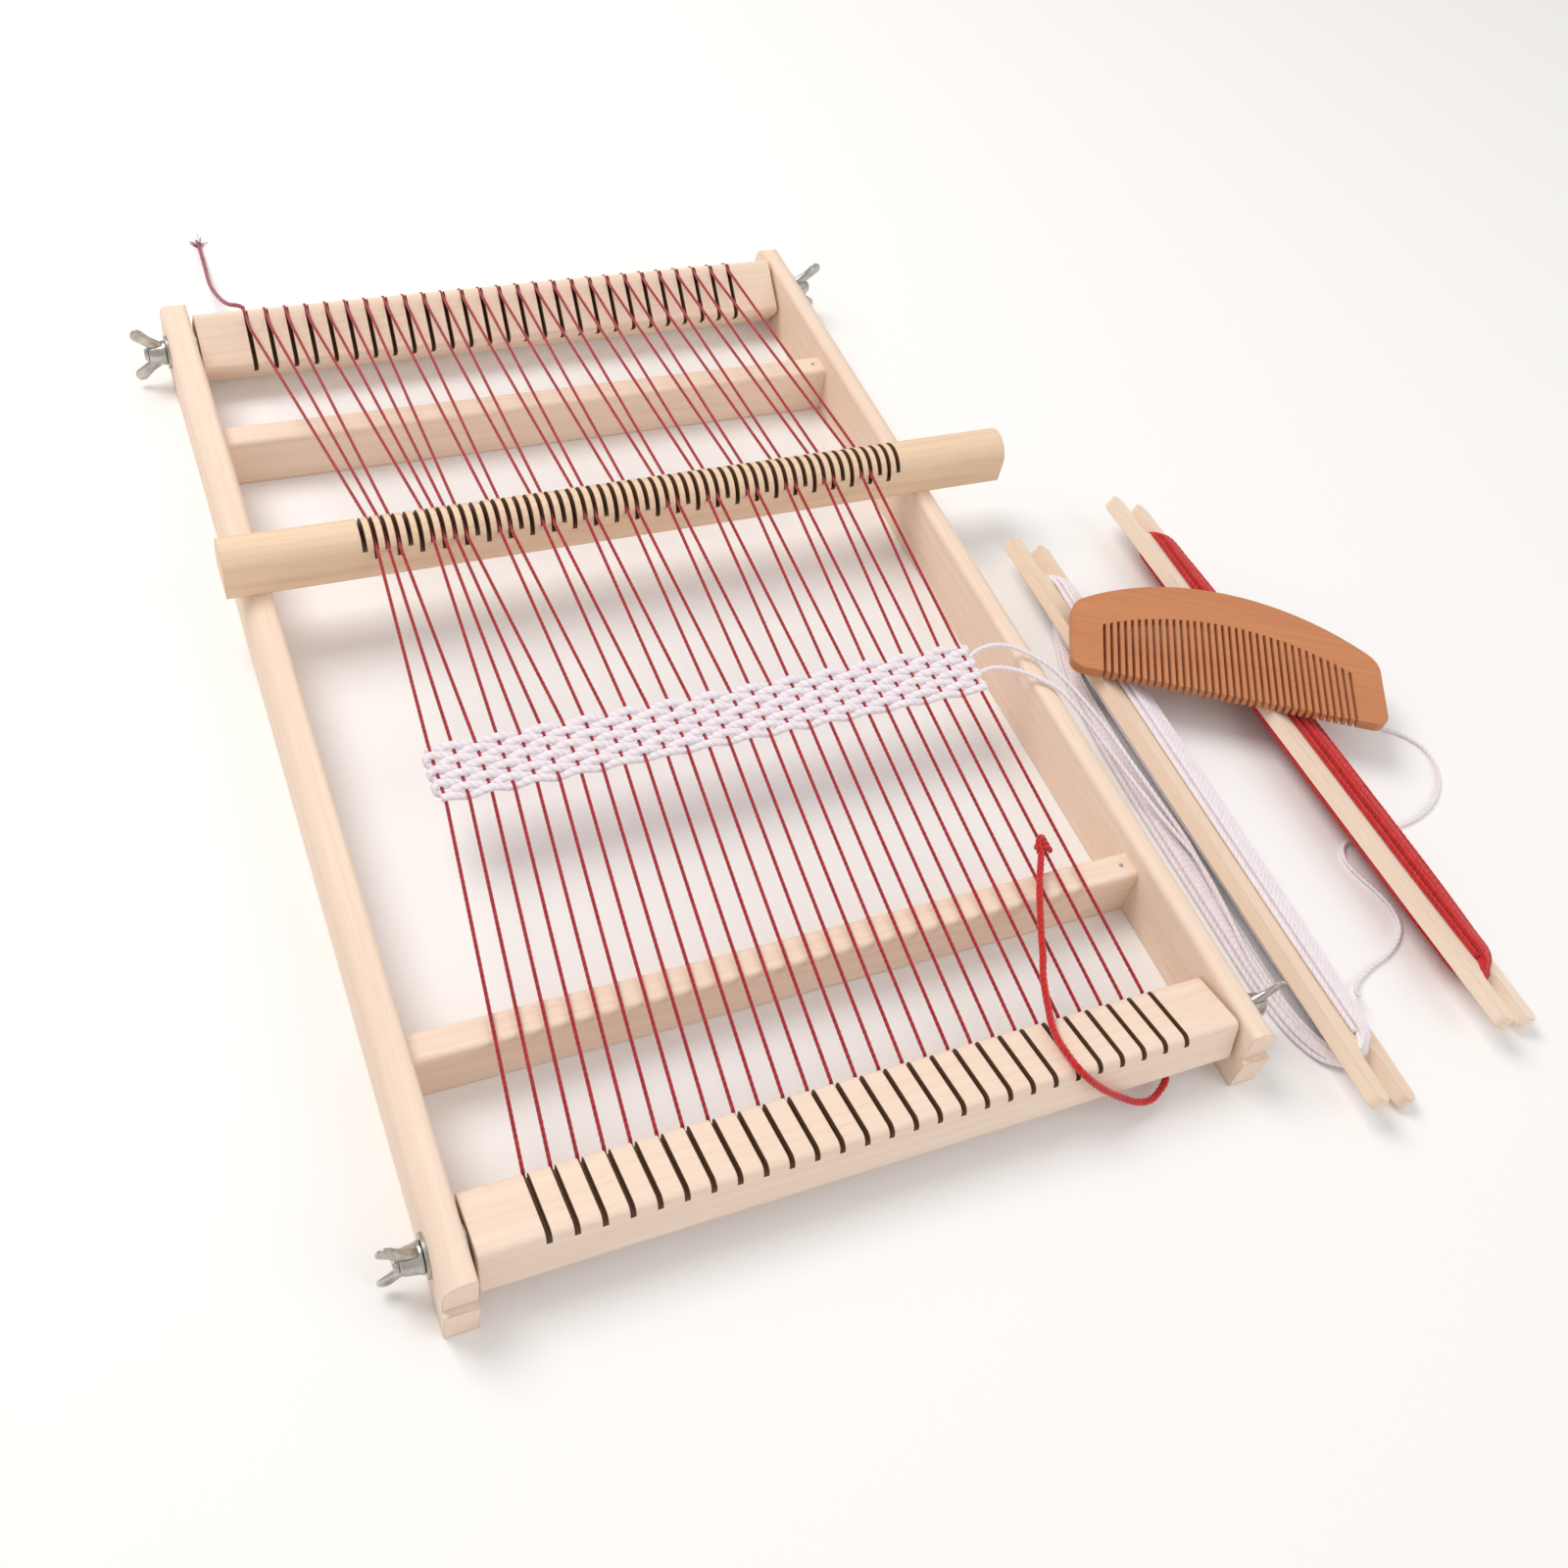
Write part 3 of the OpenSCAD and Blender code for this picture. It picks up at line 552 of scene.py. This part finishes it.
WEFT_TAIL_PATH = [
    (96.3, 79, 27.9), (102, 80, 28.2), (109, 78, 28), (116, 73.5, 27.2), (123, 67, 25.4),
    (129, 58, 20.5), (134, 48, 15.4), (138.5, 37.5, 11), (142.5, 26, 7.8), (145.3, 14, 6.6),
    (147.2, 4, 6.4),
]
SLACK_PATH = [
    (170.7, -60, 7.2), (172, -58.5, 5), (174.5, -56, 2.6), (178.5, -53, 1.2), (187, -49.5, 0.8),
    (194, -47.5, 0.8), (201, -44, 0.8), (206, -39, 0.8), (208, -32, 0.8), (207, -25, 0.8),
    (204.5, -17, 0.8), (203.5, -10, 0.8), (206.5, -4.5, 0.8), (213, -2.5, 0.8), (221, -2.5, 0.8),
    (229, -2.5, 0.8), (237, -2, 0.8), (245, 0, 0.8), (253, 4, 0.8), (260, 10.5, 0.8),
    (264, 18.5, 0.8), (264, 26.5, 0.8), (260, 33, 0.8), (254, 38, 0.8), (247, 42, 0.8),
]


def in_metres(points):
    return [tuple(v * MM for v in p) for p in points]


def free_yarn(name, node, route, d, material, slot_name, plies=2,
              lay=0.0046, hairs=90):
    """A free yarn along its route."""
    line = smooth(in_metres(route), 0.0005)
    mesh = YarnMesh()
    mesh.tube(line, d, plies=plies, lay=lay, sides=12, seed=len(name))
    mesh.fuzz(line, d, hairs, 0.0011, seed=len(name))
    made = mesh.piece(name, material, slot_name)
    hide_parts(node)
    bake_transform(made)
    return made


def frayed_end(point, ahead, d, length, count, seed):
    """The fibres at a yarn's cut end, spread like a small brush."""
    rng = np.random.default_rng(seed)
    mesh = YarnMesh()
    ahead = np.asarray(ahead, float)
    ahead /= np.linalg.norm(ahead)
    for _ in range(count):
        spread = rng.normal(0, 1, 3)
        spread -= ahead * (spread @ ahead)
        reach = length * rng.uniform(0.55, 1.0)
        start = np.asarray(point) + spread * d * 0.12 - ahead * d
        hair = []
        for t in np.linspace(0, 1, 5):
            place = start + ahead * reach * t + spread * reach * (0.10 * t + 0.22 * t * t)
            place[2] = max(place[2], 0.00015)
            hair.append(place)
        mesh.tube(np.array(hair), FRAY_D, plies=1, depth=0.0, sides=4, uneven=0.0)
    return mesh


def make_cords():
    white, red, rose = YARN["white"], YARN["red"], YARN["rose"]
    tail_end = in_metres(TAIL_PATH)[-1]
    brush = frayed_end(tail_end, (0.03, 1, 0.02), 0.0016, 0.0055, 46, 7)
    fray = brush.piece("warp_tail_fray", rose, "tail_yarn")
    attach(fray, "frame")
    free_yarn(
        "warp_tail_yarn", "warp_tail", TAIL_PATH, 0.0016, rose, "tail_yarn",
    )
    free_yarn(
        "warp_loop_yarn", "warp_loop", LOOP_PATH, 0.0023, red, "red_yarn",
        plies=3, lay=0.0062, hairs=220,
    )
    free_yarn(
        "weft_yarn_spare", "weft_yarn", WEFT_PATH, 0.0016, white, "white_yarn",
    )
    free_yarn(
        "weft_tail_spare", "weft_tail", WEFT_TAIL_PATH, 0.0016, white, "white_yarn",
    )
    free_yarn(
        "shuttle_yarn_slack", "shuttle_yarn", SLACK_PATH, 0.0014, white, "white_yarn",
    )


# ---------------------------------------------------------------- warp

def thread_x(i):
    return (i - (WARP_COUNT - 1) / 2) * WARP_PITCH


def mixed(a, b, share):
    return a + (b - a) * share


CROWDED = 7


def bar_x(i):
    """The threads take two slots and skip two, but the first few crowd together."""
    if i < CROWDED:
        slot = i + 1 if i < 3 else i + 3
    else:
        slot = 2 * i - 3 + i % 2
    return BAR_MID + (slot - (BAR_SLOTS - 1) / 2) * BAR_PITCH


def web_x(i):
    return mixed(thread_x(0) + 0.0105, thread_x(WARP_COUNT - 1) - 0.0015, i / (WARP_COUNT - 1))


def on_beam(axis_y, lean, u, v):
    """A place on a beam's section: u along the slotted face, v out of it."""
    tilt = math.radians(lean)
    return np.array([
        axis_y + u * math.cos(tilt) - v * math.sin(tilt),
        BEAM_Z + u * math.sin(tilt) + v * math.cos(tilt),
    ])


PAIR_RISE = WARP_D / 2 + 0.0001
OUT_U = BEAM_W / 2 + PAIR_RISE
REAR_IN = on_beam(REAR_BEAM_Y, REAR_TILT, OUT_U, BEAM_T / 2 - REAR_CUT + PAIR_RISE)
REAR_LOW = on_beam(REAR_BEAM_Y, REAR_TILT, OUT_U, BEAM_T / 2 - REAR_CUT + PAIR_RISE - 0.005)
FRONT_IN = on_beam(FRONT_BEAM_Y, -FRONT_TILT, OUT_U, BEAM_T / 2 - FRONT_CUT + PAIR_RISE)
SEAT_REAR = np.array([BAR_Y + BAR_W / 2, SEAT_Z + PAIR_RISE])
SEAT_FRONT = np.array([BAR_Y - BAR_W / 2, SEAT_Z + PAIR_RISE])
SLOPE = (SEAT_FRONT[1] - FRONT_IN[1]) / (SEAT_FRONT[0] - FRONT_IN[0])


def front_z(y):
    return FRONT_IN[1] + (y - FRONT_IN[0]) * SLOPE


WEB_REAR = np.array([BAND_Y + BAND_L / 2, front_z(BAND_Y + BAND_L / 2)])
WEB_FRONT = np.array([BAND_Y - BAND_L / 2, front_z(BAND_Y - BAND_L / 2)])
REAR_OUT = mixed(REAR_IN, SEAT_REAR, 0.014 / np.linalg.norm(SEAT_REAR - REAR_IN))
REAR_MID = mixed(REAR_IN, SEAT_REAR, 0.45)
FRONT_MID = mixed(FRONT_IN, WEB_FRONT, 0.45)


def at(x, place):
    return np.array([x, place[0], place[1]])


def warp_stations(i):
    """The places that one thread passes, from its tucked front end to the rear beam."""
    tuck = 0.0060
    under = -BEAM_T / 2 - PAIR_RISE
    return [
        at(thread_x(i), on_beam(FRONT_BEAM_Y, -FRONT_TILT, OUT_U - 0.0075 - tuck, under)),
        at(thread_x(i), on_beam(FRONT_BEAM_Y, -FRONT_TILT, OUT_U, under)),
        at(thread_x(i), FRONT_IN),
        at(mixed(thread_x(i), web_x(i), 0.45), FRONT_MID),
        at(web_x(i), WEB_FRONT),
        at(web_x(i), WEB_REAR),
        at(bar_x(i), SEAT_FRONT),
        at(bar_x(i), SEAT_REAR),
        at(mixed(thread_x(i), bar_x(i), 0.4), REAR_MID),
        at(thread_x(i), REAR_OUT),
        at(thread_x(i), REAR_IN),
    ]


def stations_to_line(stations):
    return resampled(rounded(stations, 0.0016), 0.00062)


def cut_at(line, station, start):
    """The index of the line's point nearest to a station, past start."""
    return start + int(np.argmin(np.linalg.norm(line[start:] - station, axis=1)))


CUT_STATIONS = (2, 3, 5, 6, 7, 8, 9)    # where one piece of a thread ends and the next begins
WARP_PIECES = [
    ("ends", ["warp_front_ends"], ["front_beam"]),
    ("front", ["warp_front_span"], ("frame", "front_beam", FRONT_MID, FRONT_IN)),
    ("web", ["warp_in_band"], ["frame"]),
    ("even_front", ["warp_front_even"], ("frame", "shed", WEB_REAR, SEAT_FRONT)),
    ("even_shed", ["warp_shed_even"], ["shed"]),
    ("even_back", ["warp_back_even"], ("frame", "shed", REAR_MID, SEAT_REAR)),
    ("odd", ["warp_front_odd", "warp_shed_odd", "warp_back_odd"], ["frame"]),
    ("rear", ["warp_rear_span"], ("frame", "rear_beam", REAR_MID, REAR_OUT)),
    ("loops", ["warp_rear_loops"], ["rear_beam"]),
]


def make_warp():
    """The warp as real threads, cut into pieces where the moving parts take hold of them."""
    parts = {
        name: YarnMesh()
        for name in ("ends", "front", "web", "even_front", "even_shed", "even_back", "odd", "rear", "loops")
    }
    last = WARP_COUNT - 1
    for i in range(WARP_COUNT):
        stations = warp_stations(i)
        partner = i + 1 if i % 2 else i - 1
        if i % 2 and partner <= last:
            stations += [
                at(thread_x(i), REAR_LOW), at(thread_x(partner), REAR_LOW),
                at(thread_x(partner), REAR_IN), at(thread_x(partner), REAR_OUT),
            ]
        line = stations_to_line(stations)
        marks = [0]
        for station in CUT_STATIONS:
            marks.append(cut_at(line, stations[station], marks[-1]))
        end = len(line)
        if i > 0 and i % 2 == 0:
            end = marks[7] + 1
        along = distances(line)
        names = ["ends", "front", "web"]
        names += ["odd"] * 3 if i % 2 else ["even_front", "even_shed", "even_back"]
        names += ["rear", "loops"]
        for name, a, b in zip(names, marks, marks[1:] + [end - 1]):
            if b - a < 2:
                continue
            parts[name].tube(
                line[a:b + 1], WARP_D, lay=WARP_LAY, phase=2 * math.pi * along[a] / WARP_LAY,
                sides=9, seed=i, uneven=0.0,
            )
        parts["web"].fuzz(line[marks[2]:marks[3]], WARP_D, 26, 0.0009, seed=i)
        parts["front"].fuzz(line[marks[1]:marks[2]], WARP_D, 10, 0.0009, seed=100 + i)
        parts["rear"].fuzz(line[marks[6]:marks[7]], WARP_D, 12, 0.0009, seed=200 + i)
    for name, node_names, bodies in WARP_PIECES:
        made = parts[name].piece("warp_yarn_" + name, YARN["warp"], "warp_yarn")
        if node_names:
            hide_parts(*node_names)
        if len(bodies) == 1:
            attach(made, bodies[0])
        else:
            near, far, start, end = bodies
            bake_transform(made)


# ---------------------------------------------------------------- woven band

def make_band():
    """The first cloth: one soft weft that goes over and under each thread, pick after pick."""
    picks = 8
    pick_w = BAND_L / picks
    thick, crimp = 0.0017, 0.00078
    edge, turn_out = 0.0019, 0.0004
    drift, stray = 0.00012, 0.00006
    mesh = YarnMesh()
    slope = math.atan(SLOPE)
    out = np.array([0, -math.sin(slope), math.cos(slope)])
    back = np.array([0, math.cos(slope), math.sin(slope)])
    left, right = web_x(0), web_x(WARP_COUNT - 1)
    spacing = (right - left) / (WARP_COUNT - 1)
    middle = np.array([0, BAND_Y, front_z(BAND_Y)])
    rng = random.Random(5)
    route = []
    for k in range(picks):
        y = BAND_L / 2 - (k + 0.5) * pick_w
        sign = 1 if k % 2 else -1
        steps = 4 * (WARP_COUNT - 1) + 3
        row = []
        for s in range(steps):
            x = mixed(left - edge * 0.6, right + edge * 0.6, s / (steps - 1))
            wave = sign * math.cos(math.pi * (x - left) / spacing)
            wander = drift * math.sin(0.9 * s + 1.7 * k) + rng.uniform(-1, 1) * stray
            row.append(np.array([x, 0, 0]) + middle + back * (y + wander) + out * crimp * wave)
        if k % 2:
            row.reverse()
        if route:
            side = -1 if k % 2 == 0 else 1
            turn_x = (left if side < 0 else right) + side * (edge + turn_out)
            route.append(np.array([turn_x, 0, 0]) + middle + back * (y + pick_w / 2))
        route += row
    line = smooth(route, 0.0006)
    mesh.tube(line, pick_w * 1.14, lay=0.0052, depth=0.10, sides=12, seed=3, flat=thick / pick_w,
              flat_dir=back, uneven=0.05)
    mesh.fuzz(line, thick, 900, 0.0012, seed=12)
    band = mesh.piece("woven_band_cloth", YARN["white"], "white_yarn")
    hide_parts("woven_band")
    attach(band, "frame")


def make_knot():
    """The spare warp end tied round a thread: two wraps with the end laid over them."""
    centre = np.array([0.0882, 0.012, front_z(0.012)])
    wraps, coil_r, coil_l, steps = 2.25, 0.00165, 0.0042, 40
    mesh = YarnMesh()
    coil = []
    for s in range(steps + 1):
        a = s / steps * 2 * math.pi * wraps
        coil.append(centre + np.array([
            coil_r * math.cos(a), -coil_l / 2 + coil_l * s / steps, coil_r * math.sin(a),
        ]))
    mesh.tube(resampled(coil, 0.0004), 0.0019, plies=3, lay=0.005, depth=0.18, sides=12, seed=4)
    nub = [centre + np.array(place) * MM for place in (
        (1.0, 2.6, 1.2), (-0.4, 2.2, 2.4), (-1.8, 0.6, 2.2), (-2.2, -1.4, 1.4), (-1.9, -2.6, 1.1),
    )]
    mesh.tube(smooth(nub, 0.0004), 0.0021, plies=3, lay=0.005, depth=0.18, sides=12, seed=6)
    knot = mesh.piece("warp_knot_wraps", YARN["red"], "red_yarn")
    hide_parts("warp_knot")
    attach(knot, "frame")


# ---------------------------------------------------------------- windings

SHUTTLE_LEAN, RED_TURN = 27, 1.5
WHITE_D, RED_D = 0.0017, 0.0019


def shuttle_frame(node, x, y, turn):
    """The place of a shuttle that leans on its edge and is turned by turn degrees."""
    z = sum(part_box(node), Vector()).z / 2
    lean = Euler((0, math.radians(SHUTTLE_LEAN), math.radians(turn)), "XYZ")
    return Matrix.Translation((x, y, z)) @ lean.to_matrix().to_4x4()


def winding(name, node, body, placed, material, slot_name, d, over, under, rows, seed):
    """Yarn wound lengthways round a stick shuttle, through the notch in each end.
    over and under are where the strands lie across the two faces, and rows how many there are."""
    rng = random.Random(seed)
    half, face, notch = 0.1035, 0.00225, 0.0042
    end_y, end_h = half + d * 0.7, 0.0014
    spacing, stray, bow_most = 1.02, 0.00022, 0.0004
    first_layer, next_layer = 0.52, 0.86
    way = (-0.96, -0.86, -0.6, -0.2, 0.2, 0.6, 0.86, 0.96)
    route = []

    def lane(k, centre):
        upper = k >= rows[0]
        number = k - rows[0] if upper else k
        count = rows[1] if upper else rows[0]
        across = centre + (number - (count - 1) / 2) * d * spacing + rng.uniform(-1, 1) * stray
        return across, face + d * (first_layer + next_layer * upper)

    def pinch(x):
        """Where a strand at x passes the notch."""
        return max(-notch * 0.72, min(notch * 0.72, x * 0.42))

    def run(x, height, bow, shares):
        """One strand along a face, drawn in towards the notch at both ends."""
        for share in shares:
            draw = 1 - abs(share) ** 5
            route.append((mixed(pinch(x), x, draw) + bow * draw, share * half, height))

    for k in range(sum(rows)):
        top_x, top_h = lane(k, over)
        low_x, low_h = lane(k, under)
        bow = rng.uniform(-1, 1) * bow_most
        run(top_x, top_h, bow, way)
        route.append((pinch(top_x), end_y, end_h))
        route.append((pinch(low_x), end_y, -end_h))
        run(low_x, -low_h, bow, way[::-1])
        route.append((pinch(low_x), -end_y, -end_h))
        route.append((pinch(low_x), -end_y, end_h))
    line = smooth(route, 0.0011)
    world = np.array(placed)
    line = line @ world[:3, :3].T + world[:3, 3]
    mesh = YarnMesh()
    mesh.tube(line, d, lay=0.0045, sides=8, seed=seed)
    mesh.fuzz(line, d, 420, 0.0011, seed=seed)
    made = mesh.piece(name, material, slot_name)
    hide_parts(node)
    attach(made, body)


def loose_strands():
    """The slack last turns of the white winding lie left of their shuttle, and the two weft
    yarns run on into them."""
    mesh = YarnMesh()
    rng = random.Random(9)
    strands, lanes, lane_w, layer_h = 13, 7, 1.05, 1.6
    routes = []
    for k in range(strands):
        out = (k % lanes) * lane_w + rng.uniform(-0.3, 0.3)
        high = 0.95 + layer_h * (k // lanes) + rng.uniform(0, 0.3)
        routes.append([
            (157, 121, 3.0), (153 - 0.5 * out, 104, high + 0.6), (150.2 - 0.8 * out, 86, high),
            (149.2 - 0.95 * out, 62, high), (149 - 1.05 * out, 34, high), (149 - 1.05 * out, 4, high),
            (149 - 1.05 * out, -24, high), (148.8 - 1.0 * out, -46, high),
            (149 - 0.75 * out, -60 - 0.3 * out, high), (151 - 0.4 * out, -70 - 0.5 * out, high + 0.5),
            (154.5, -76.5 - 0.4 * out, 3.0), (157.5, -80 - 0.2 * out, 3.6),
        ])
    routes.append([
        (147.2, 17.2, 6.9), (147.6, 8, 6.5), (147.3, -4, 5.6), (146.6, -18, 4.6), (146.2, -34, 4.4),
        (146.6, -48, 4.2), (148.2, -60, 3.8), (151, -69, 3.6), (155.5, -76, 3.8),
    ])
    routes.append([
        (147.2, 4.2, 6.4), (147.2, -6, 6.1), (146.2, -20, 5.6), (144.8, -36, 4.6), (145.2, -50, 4.0),
        (147.2, -62, 3.8), (150.5, -71.5, 3.6), (155, -77.5, 3.8),
    ])
    for k, route in enumerate(routes):
        line = smooth(in_metres(route), 0.0008)
        mesh.tube(line, WHITE_D, lay=0.0045, depth=0.12, seed=30 + k)
        mesh.fuzz(line, WHITE_D, 40, 0.0011, seed=30 + k)
    made = mesh.piece("white_winding_slack", YARN["white"], "white_yarn")
    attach(made, "white_shuttle")


def make_windings():
    white_place = shuttle_frame("white_shuttle", 0.1583, 0.027, 0)
    red_place = shuttle_frame("red_shuttle", 0.212, 0.038, RED_TURN)
    winding(
        "white_winding_yarn", "white_winding", "white_shuttle", white_place, YARN["white"],
        "white_yarn", WHITE_D, 0.0035, -0.002, (8, 6), 21,
    )
    loose_strands()
    winding(
        "red_winding_yarn", "red_winding", "red_shuttle", red_place, YARN["red"],
        "red_yarn", RED_D, 0.0035, -0.002, (7, 5), 22,
    )


# ---------------------------------------------------------------- hardware

class Loft:
    """Collects lofts: rings of points joined one to the next. cap closes the first and the last."""

    def __init__(self):
        self.points, self.faces = [], []

    def add(self, rings, cap=True):
        base, sides = len(self.points), len(rings[0])
        for ring in rings:
            self.points += [tuple(p) for p in ring]
        for k in range(len(rings) - 1):
            for s in range(sides):
                e = (s + 1) % sides
                self.faces.append((
                    base + k * sides + s, base + k * sides + e,
                    base + (k + 1) * sides + e, base + (k + 1) * sides + s,
                ))
        if cap:
            self.faces.append(tuple(base + s for s in range(sides - 1, -1, -1)))
            self.faces.append(tuple(base + (len(rings) - 1) * sides + s for s in range(sides)))

    def piece(self, name, material, slot_name, smooth_angle, place=None):
        mesh = bpy.data.meshes.new(name)
        points = [place @ Vector(p) for p in self.points] if place is not None else self.points
        mesh.from_pydata([tuple(p) for p in points], [], self.faces)
        if place is not None and place.determinant() < 0:
            mesh.flip_normals()
        mesh.shade_smooth()
        mesh.set_sharp_from_angle(angle=math.radians(smooth_angle))
        made = bpy.data.objects.new(name, mesh)
        bpy.context.scene.collection.objects.link(made)
        mesh.materials.append(material)
        return made


def hub_rings():
    """A wing nut's hub as a closed ring of turned metal: a flange, a cone and a threaded bore."""
    sides = 40
    outline = [
        (0.0, 2.55), (0.0, 4.2), (0.25, 4.45), (0.9, 4.45), (1.2, 4.2), (2.0, 4.05), (5.1, 3.55), (5.7, 3.3),
        (6.0, 2.95), (6.0, 2.75),
    ]
    outline += [(6.0 - 0.4 * k, 2.66 if k % 2 else 2.53) for k in range(1, 15)]
    outline.append((0.0, 2.55))
    return [
        [
            (x * MM, r * MM * math.cos(2 * math.pi * s / sides), r * MM * math.sin(2 * math.pi * s / sides))
            for s in range(sides)
        ]
        for x, r in outline
    ]


def wing_rings(side):
    """One forged wing: it leaves the hub thick, curves out and ends in a thin rounded ear."""
    steps, around = 26, 18
    ear_from = 0.72    # the share of the wing's length where the round ear begins
    lean = math.atan2(6.3, 7.2)
    width_dir = (-math.sin(lean), math.cos(lean))
    rings = []
    for k in range(steps + 1):
        t = k / steps
        # the wing's middle line in mm: x is out from the seat and z away from the axis
        x = 2.4 + 8.6 * t ** 0.9 + 0.2 * math.sin(math.pi * t)
        z = 2.7 + 7.6 * t + 0.9 * math.sin(math.pi * t) * 0.25
        if t < ear_from:
            half_w = mixed(2.3, 1.95, math.sin(math.pi * min(1, t / 0.55) / 2)) + 1.5 * max(0, t - 0.35)
        else:
            half_w = 2.5 * math.sqrt(max(0.0, 1 - ((t - ear_from) / (1 - ear_from)) ** 2)) + 0.02
        half_t = mixed(1.5, 0.62, min(1, t * 1.6)) * math.sqrt(max(0.05, 1 - max(0, (t - 0.86) / 0.15) ** 2))
        ring = []
        for s in range(around):
            a = 2 * math.pi * s / around
            w = half_w * math.copysign(abs(math.cos(a)) ** 0.75, math.cos(a))
            h = half_t * math.copysign(abs(math.sin(a)) ** 0.75, math.sin(a))
            ring.append((
                (x + w * width_dir[0]) * MM, h * MM, side * (z + w * width_dir[1]) * MM,
            ))
        rings.append(ring if side > 0 else ring[::-1])
    return rings


def make_wing_nuts():
    for end in ("front", "rear"):
        for side_name, side in (("left", -1), ("right", 1)):
            node = f"wing_nut_{end}_{side_name}"
            low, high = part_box(node)
            seat_x = low.x if side > 0 else high.x
            place = (
                Matrix.Translation((seat_x, (low.y + high.y) / 2, (low.z + high.z) / 2))
                @ Matrix.Diagonal((side, 1, 1, 1))
            )
            nut = Loft()
            nut.add(hub_rings(), cap=False)
            nut.add(wing_rings(1))
            nut.add(wing_rings(-1))
            made = nut.piece(node + "_forged", METAL["zinc"], "steel", 40, place)
            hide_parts(node)
            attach(made, node)


def threaded_rod(x_from, x_to, y, z, loft, side):
    """A rod along X with a rolled thread, whose last turn tapers."""
    pitch, major, minor, sides, per_turn = 0.8, 2.42, 2.08, 28, 8
    steps = int(abs(x_to - x_from) / MM / pitch * per_turn)
    rings = []
    for k in range(steps + 1):
        share = k / steps
        x = mixed(x_from, x_to, share)
        nose = min(1.0, 0.80 + 0.20 * (1 - share) * steps / per_turn)
        ring = []
        for s in range(sides):
            a = 2 * math.pi * s / sides
            wave = abs(((x / MM / pitch - side * a / (2 * math.pi)) % 1.0) * 2 - 1)
            r = mixed(minor, major, wave) * nose * MM
            ring.append((x, y + r * math.cos(a), z + r * math.sin(a)))
        rings.append(ring if x_to > x_from else ring[::-1])
    loft.add(rings)


def make_bolts():
    for end in ("front", "rear"):
        node = f"{end}_beam_bolts"
        low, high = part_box(node)
        y, z = (low.y + high.y) / 2, (low.z + high.z) / 2
        rods = Loft()
        beam_low, beam_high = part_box(f"{end}_beam")
        threaded_rod(beam_low.x + 0.004, low.x, y, z, rods, -1)
        threaded_rod(beam_high.x - 0.004, high.x, y, z, rods, 1)
        made = rods.piece(f"{end}_bolts_threaded", METAL["zinc"], "steel", 60)
        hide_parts(node)
        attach(made, f"{end}_beam")


# ---------------------------------------------------------------- materials on the CAD parts

def dress(node, material):
    """Gives a CAD node its material."""
    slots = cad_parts[node].data.materials
    slots.clear()
    slots.append(material)


def dress_nodes():
    """Every CAD node that shows gets its wood or metal."""
    pale, shade = (0.90, 0.735, 0.605), (0.79, 0.585, 0.445)
    for k, (node, axis) in enumerate((
        ("left_rail", "y"), ("right_rail", "y"), ("front_stretcher", "x"), ("rear_stretcher", "x"),
        ("stretcher_dowels", "x"),
    )):
        dress(node, wood("pine_" + node, pale, shade, axis, seed=0.31 + 0.17 * k))
    dress("front_beam", wood(
        "pine_front_beam", pale, shade, "x", seed=1.7,
        cuts=beam_cuts(FRONT_BEAM_Y, -FRONT_TILT, FRONT_CUT),
    ))
    dress("rear_beam", wood(
        "pine_rear_beam", pale, shade, "x", seed=2.3,
        cuts=beam_cuts(REAR_BEAM_Y, REAR_TILT, REAR_CUT),
    ))
    dress("heddle_bar", wood(
        "beech_heddle_bar", (0.87, 0.67, 0.48), (0.71, 0.47, 0.30), "x", seed=3.1, gloss=0.5,
        cuts=heddle_cuts,
    ))
    dress("white_shuttle", wood("pine_white_shuttle", (0.90, 0.73, 0.57), shade, "y", seed=4.2))
    dress("red_shuttle", wood(
        "pine_red_shuttle", (0.91, 0.76, 0.62), shade, "y", turn=math.radians(RED_TURN), seed=5.6,
    ))
    dress("comb", wood(
        "peach_comb", (0.60, 0.250, 0.110), (0.46, 0.155, 0.058), "x", turn=math.radians(-28.5),
        seed=6.4, gloss=0.34, contrast=0.8,
    ))
    for node in ("toe_nails", "inner_washers", "outer_washers"):
        dress(node, METAL["zinc"])


floor()
light_studio()
aim_camera()

# Each yarn: its colour, the painted shade between its plies (also the dark end of its random mottle) and its
# lighter fibre tips.
YARN = {
    "red": yarn("red_yarn", (0.74, 0.010, 0.010), (0.30, 0.003, 0.004), (0.84, 0.03, 0.022)),
    "warp": yarn("warp_cotton", (0.50, 0.020, 0.028), (0.20, 0.006, 0.010), (0.62, 0.04, 0.05)),
    "rose": yarn("rose_yarn", (0.42, 0.080, 0.125), (0.20, 0.028, 0.05), (0.52, 0.15, 0.20)),
    "white": yarn("white_yarn", (0.94, 0.89, 0.92), (0.76, 0.67, 0.73), (0.98, 0.93, 0.96), 0.25),
}
METAL = {"zinc": steel("zinc_plate", (0.60, 0.575, 0.53), 0.20)}

make_cords()
make_warp()
make_band()
make_knot()
make_windings()
make_wing_nuts()
make_bolts()
dress_nodes()
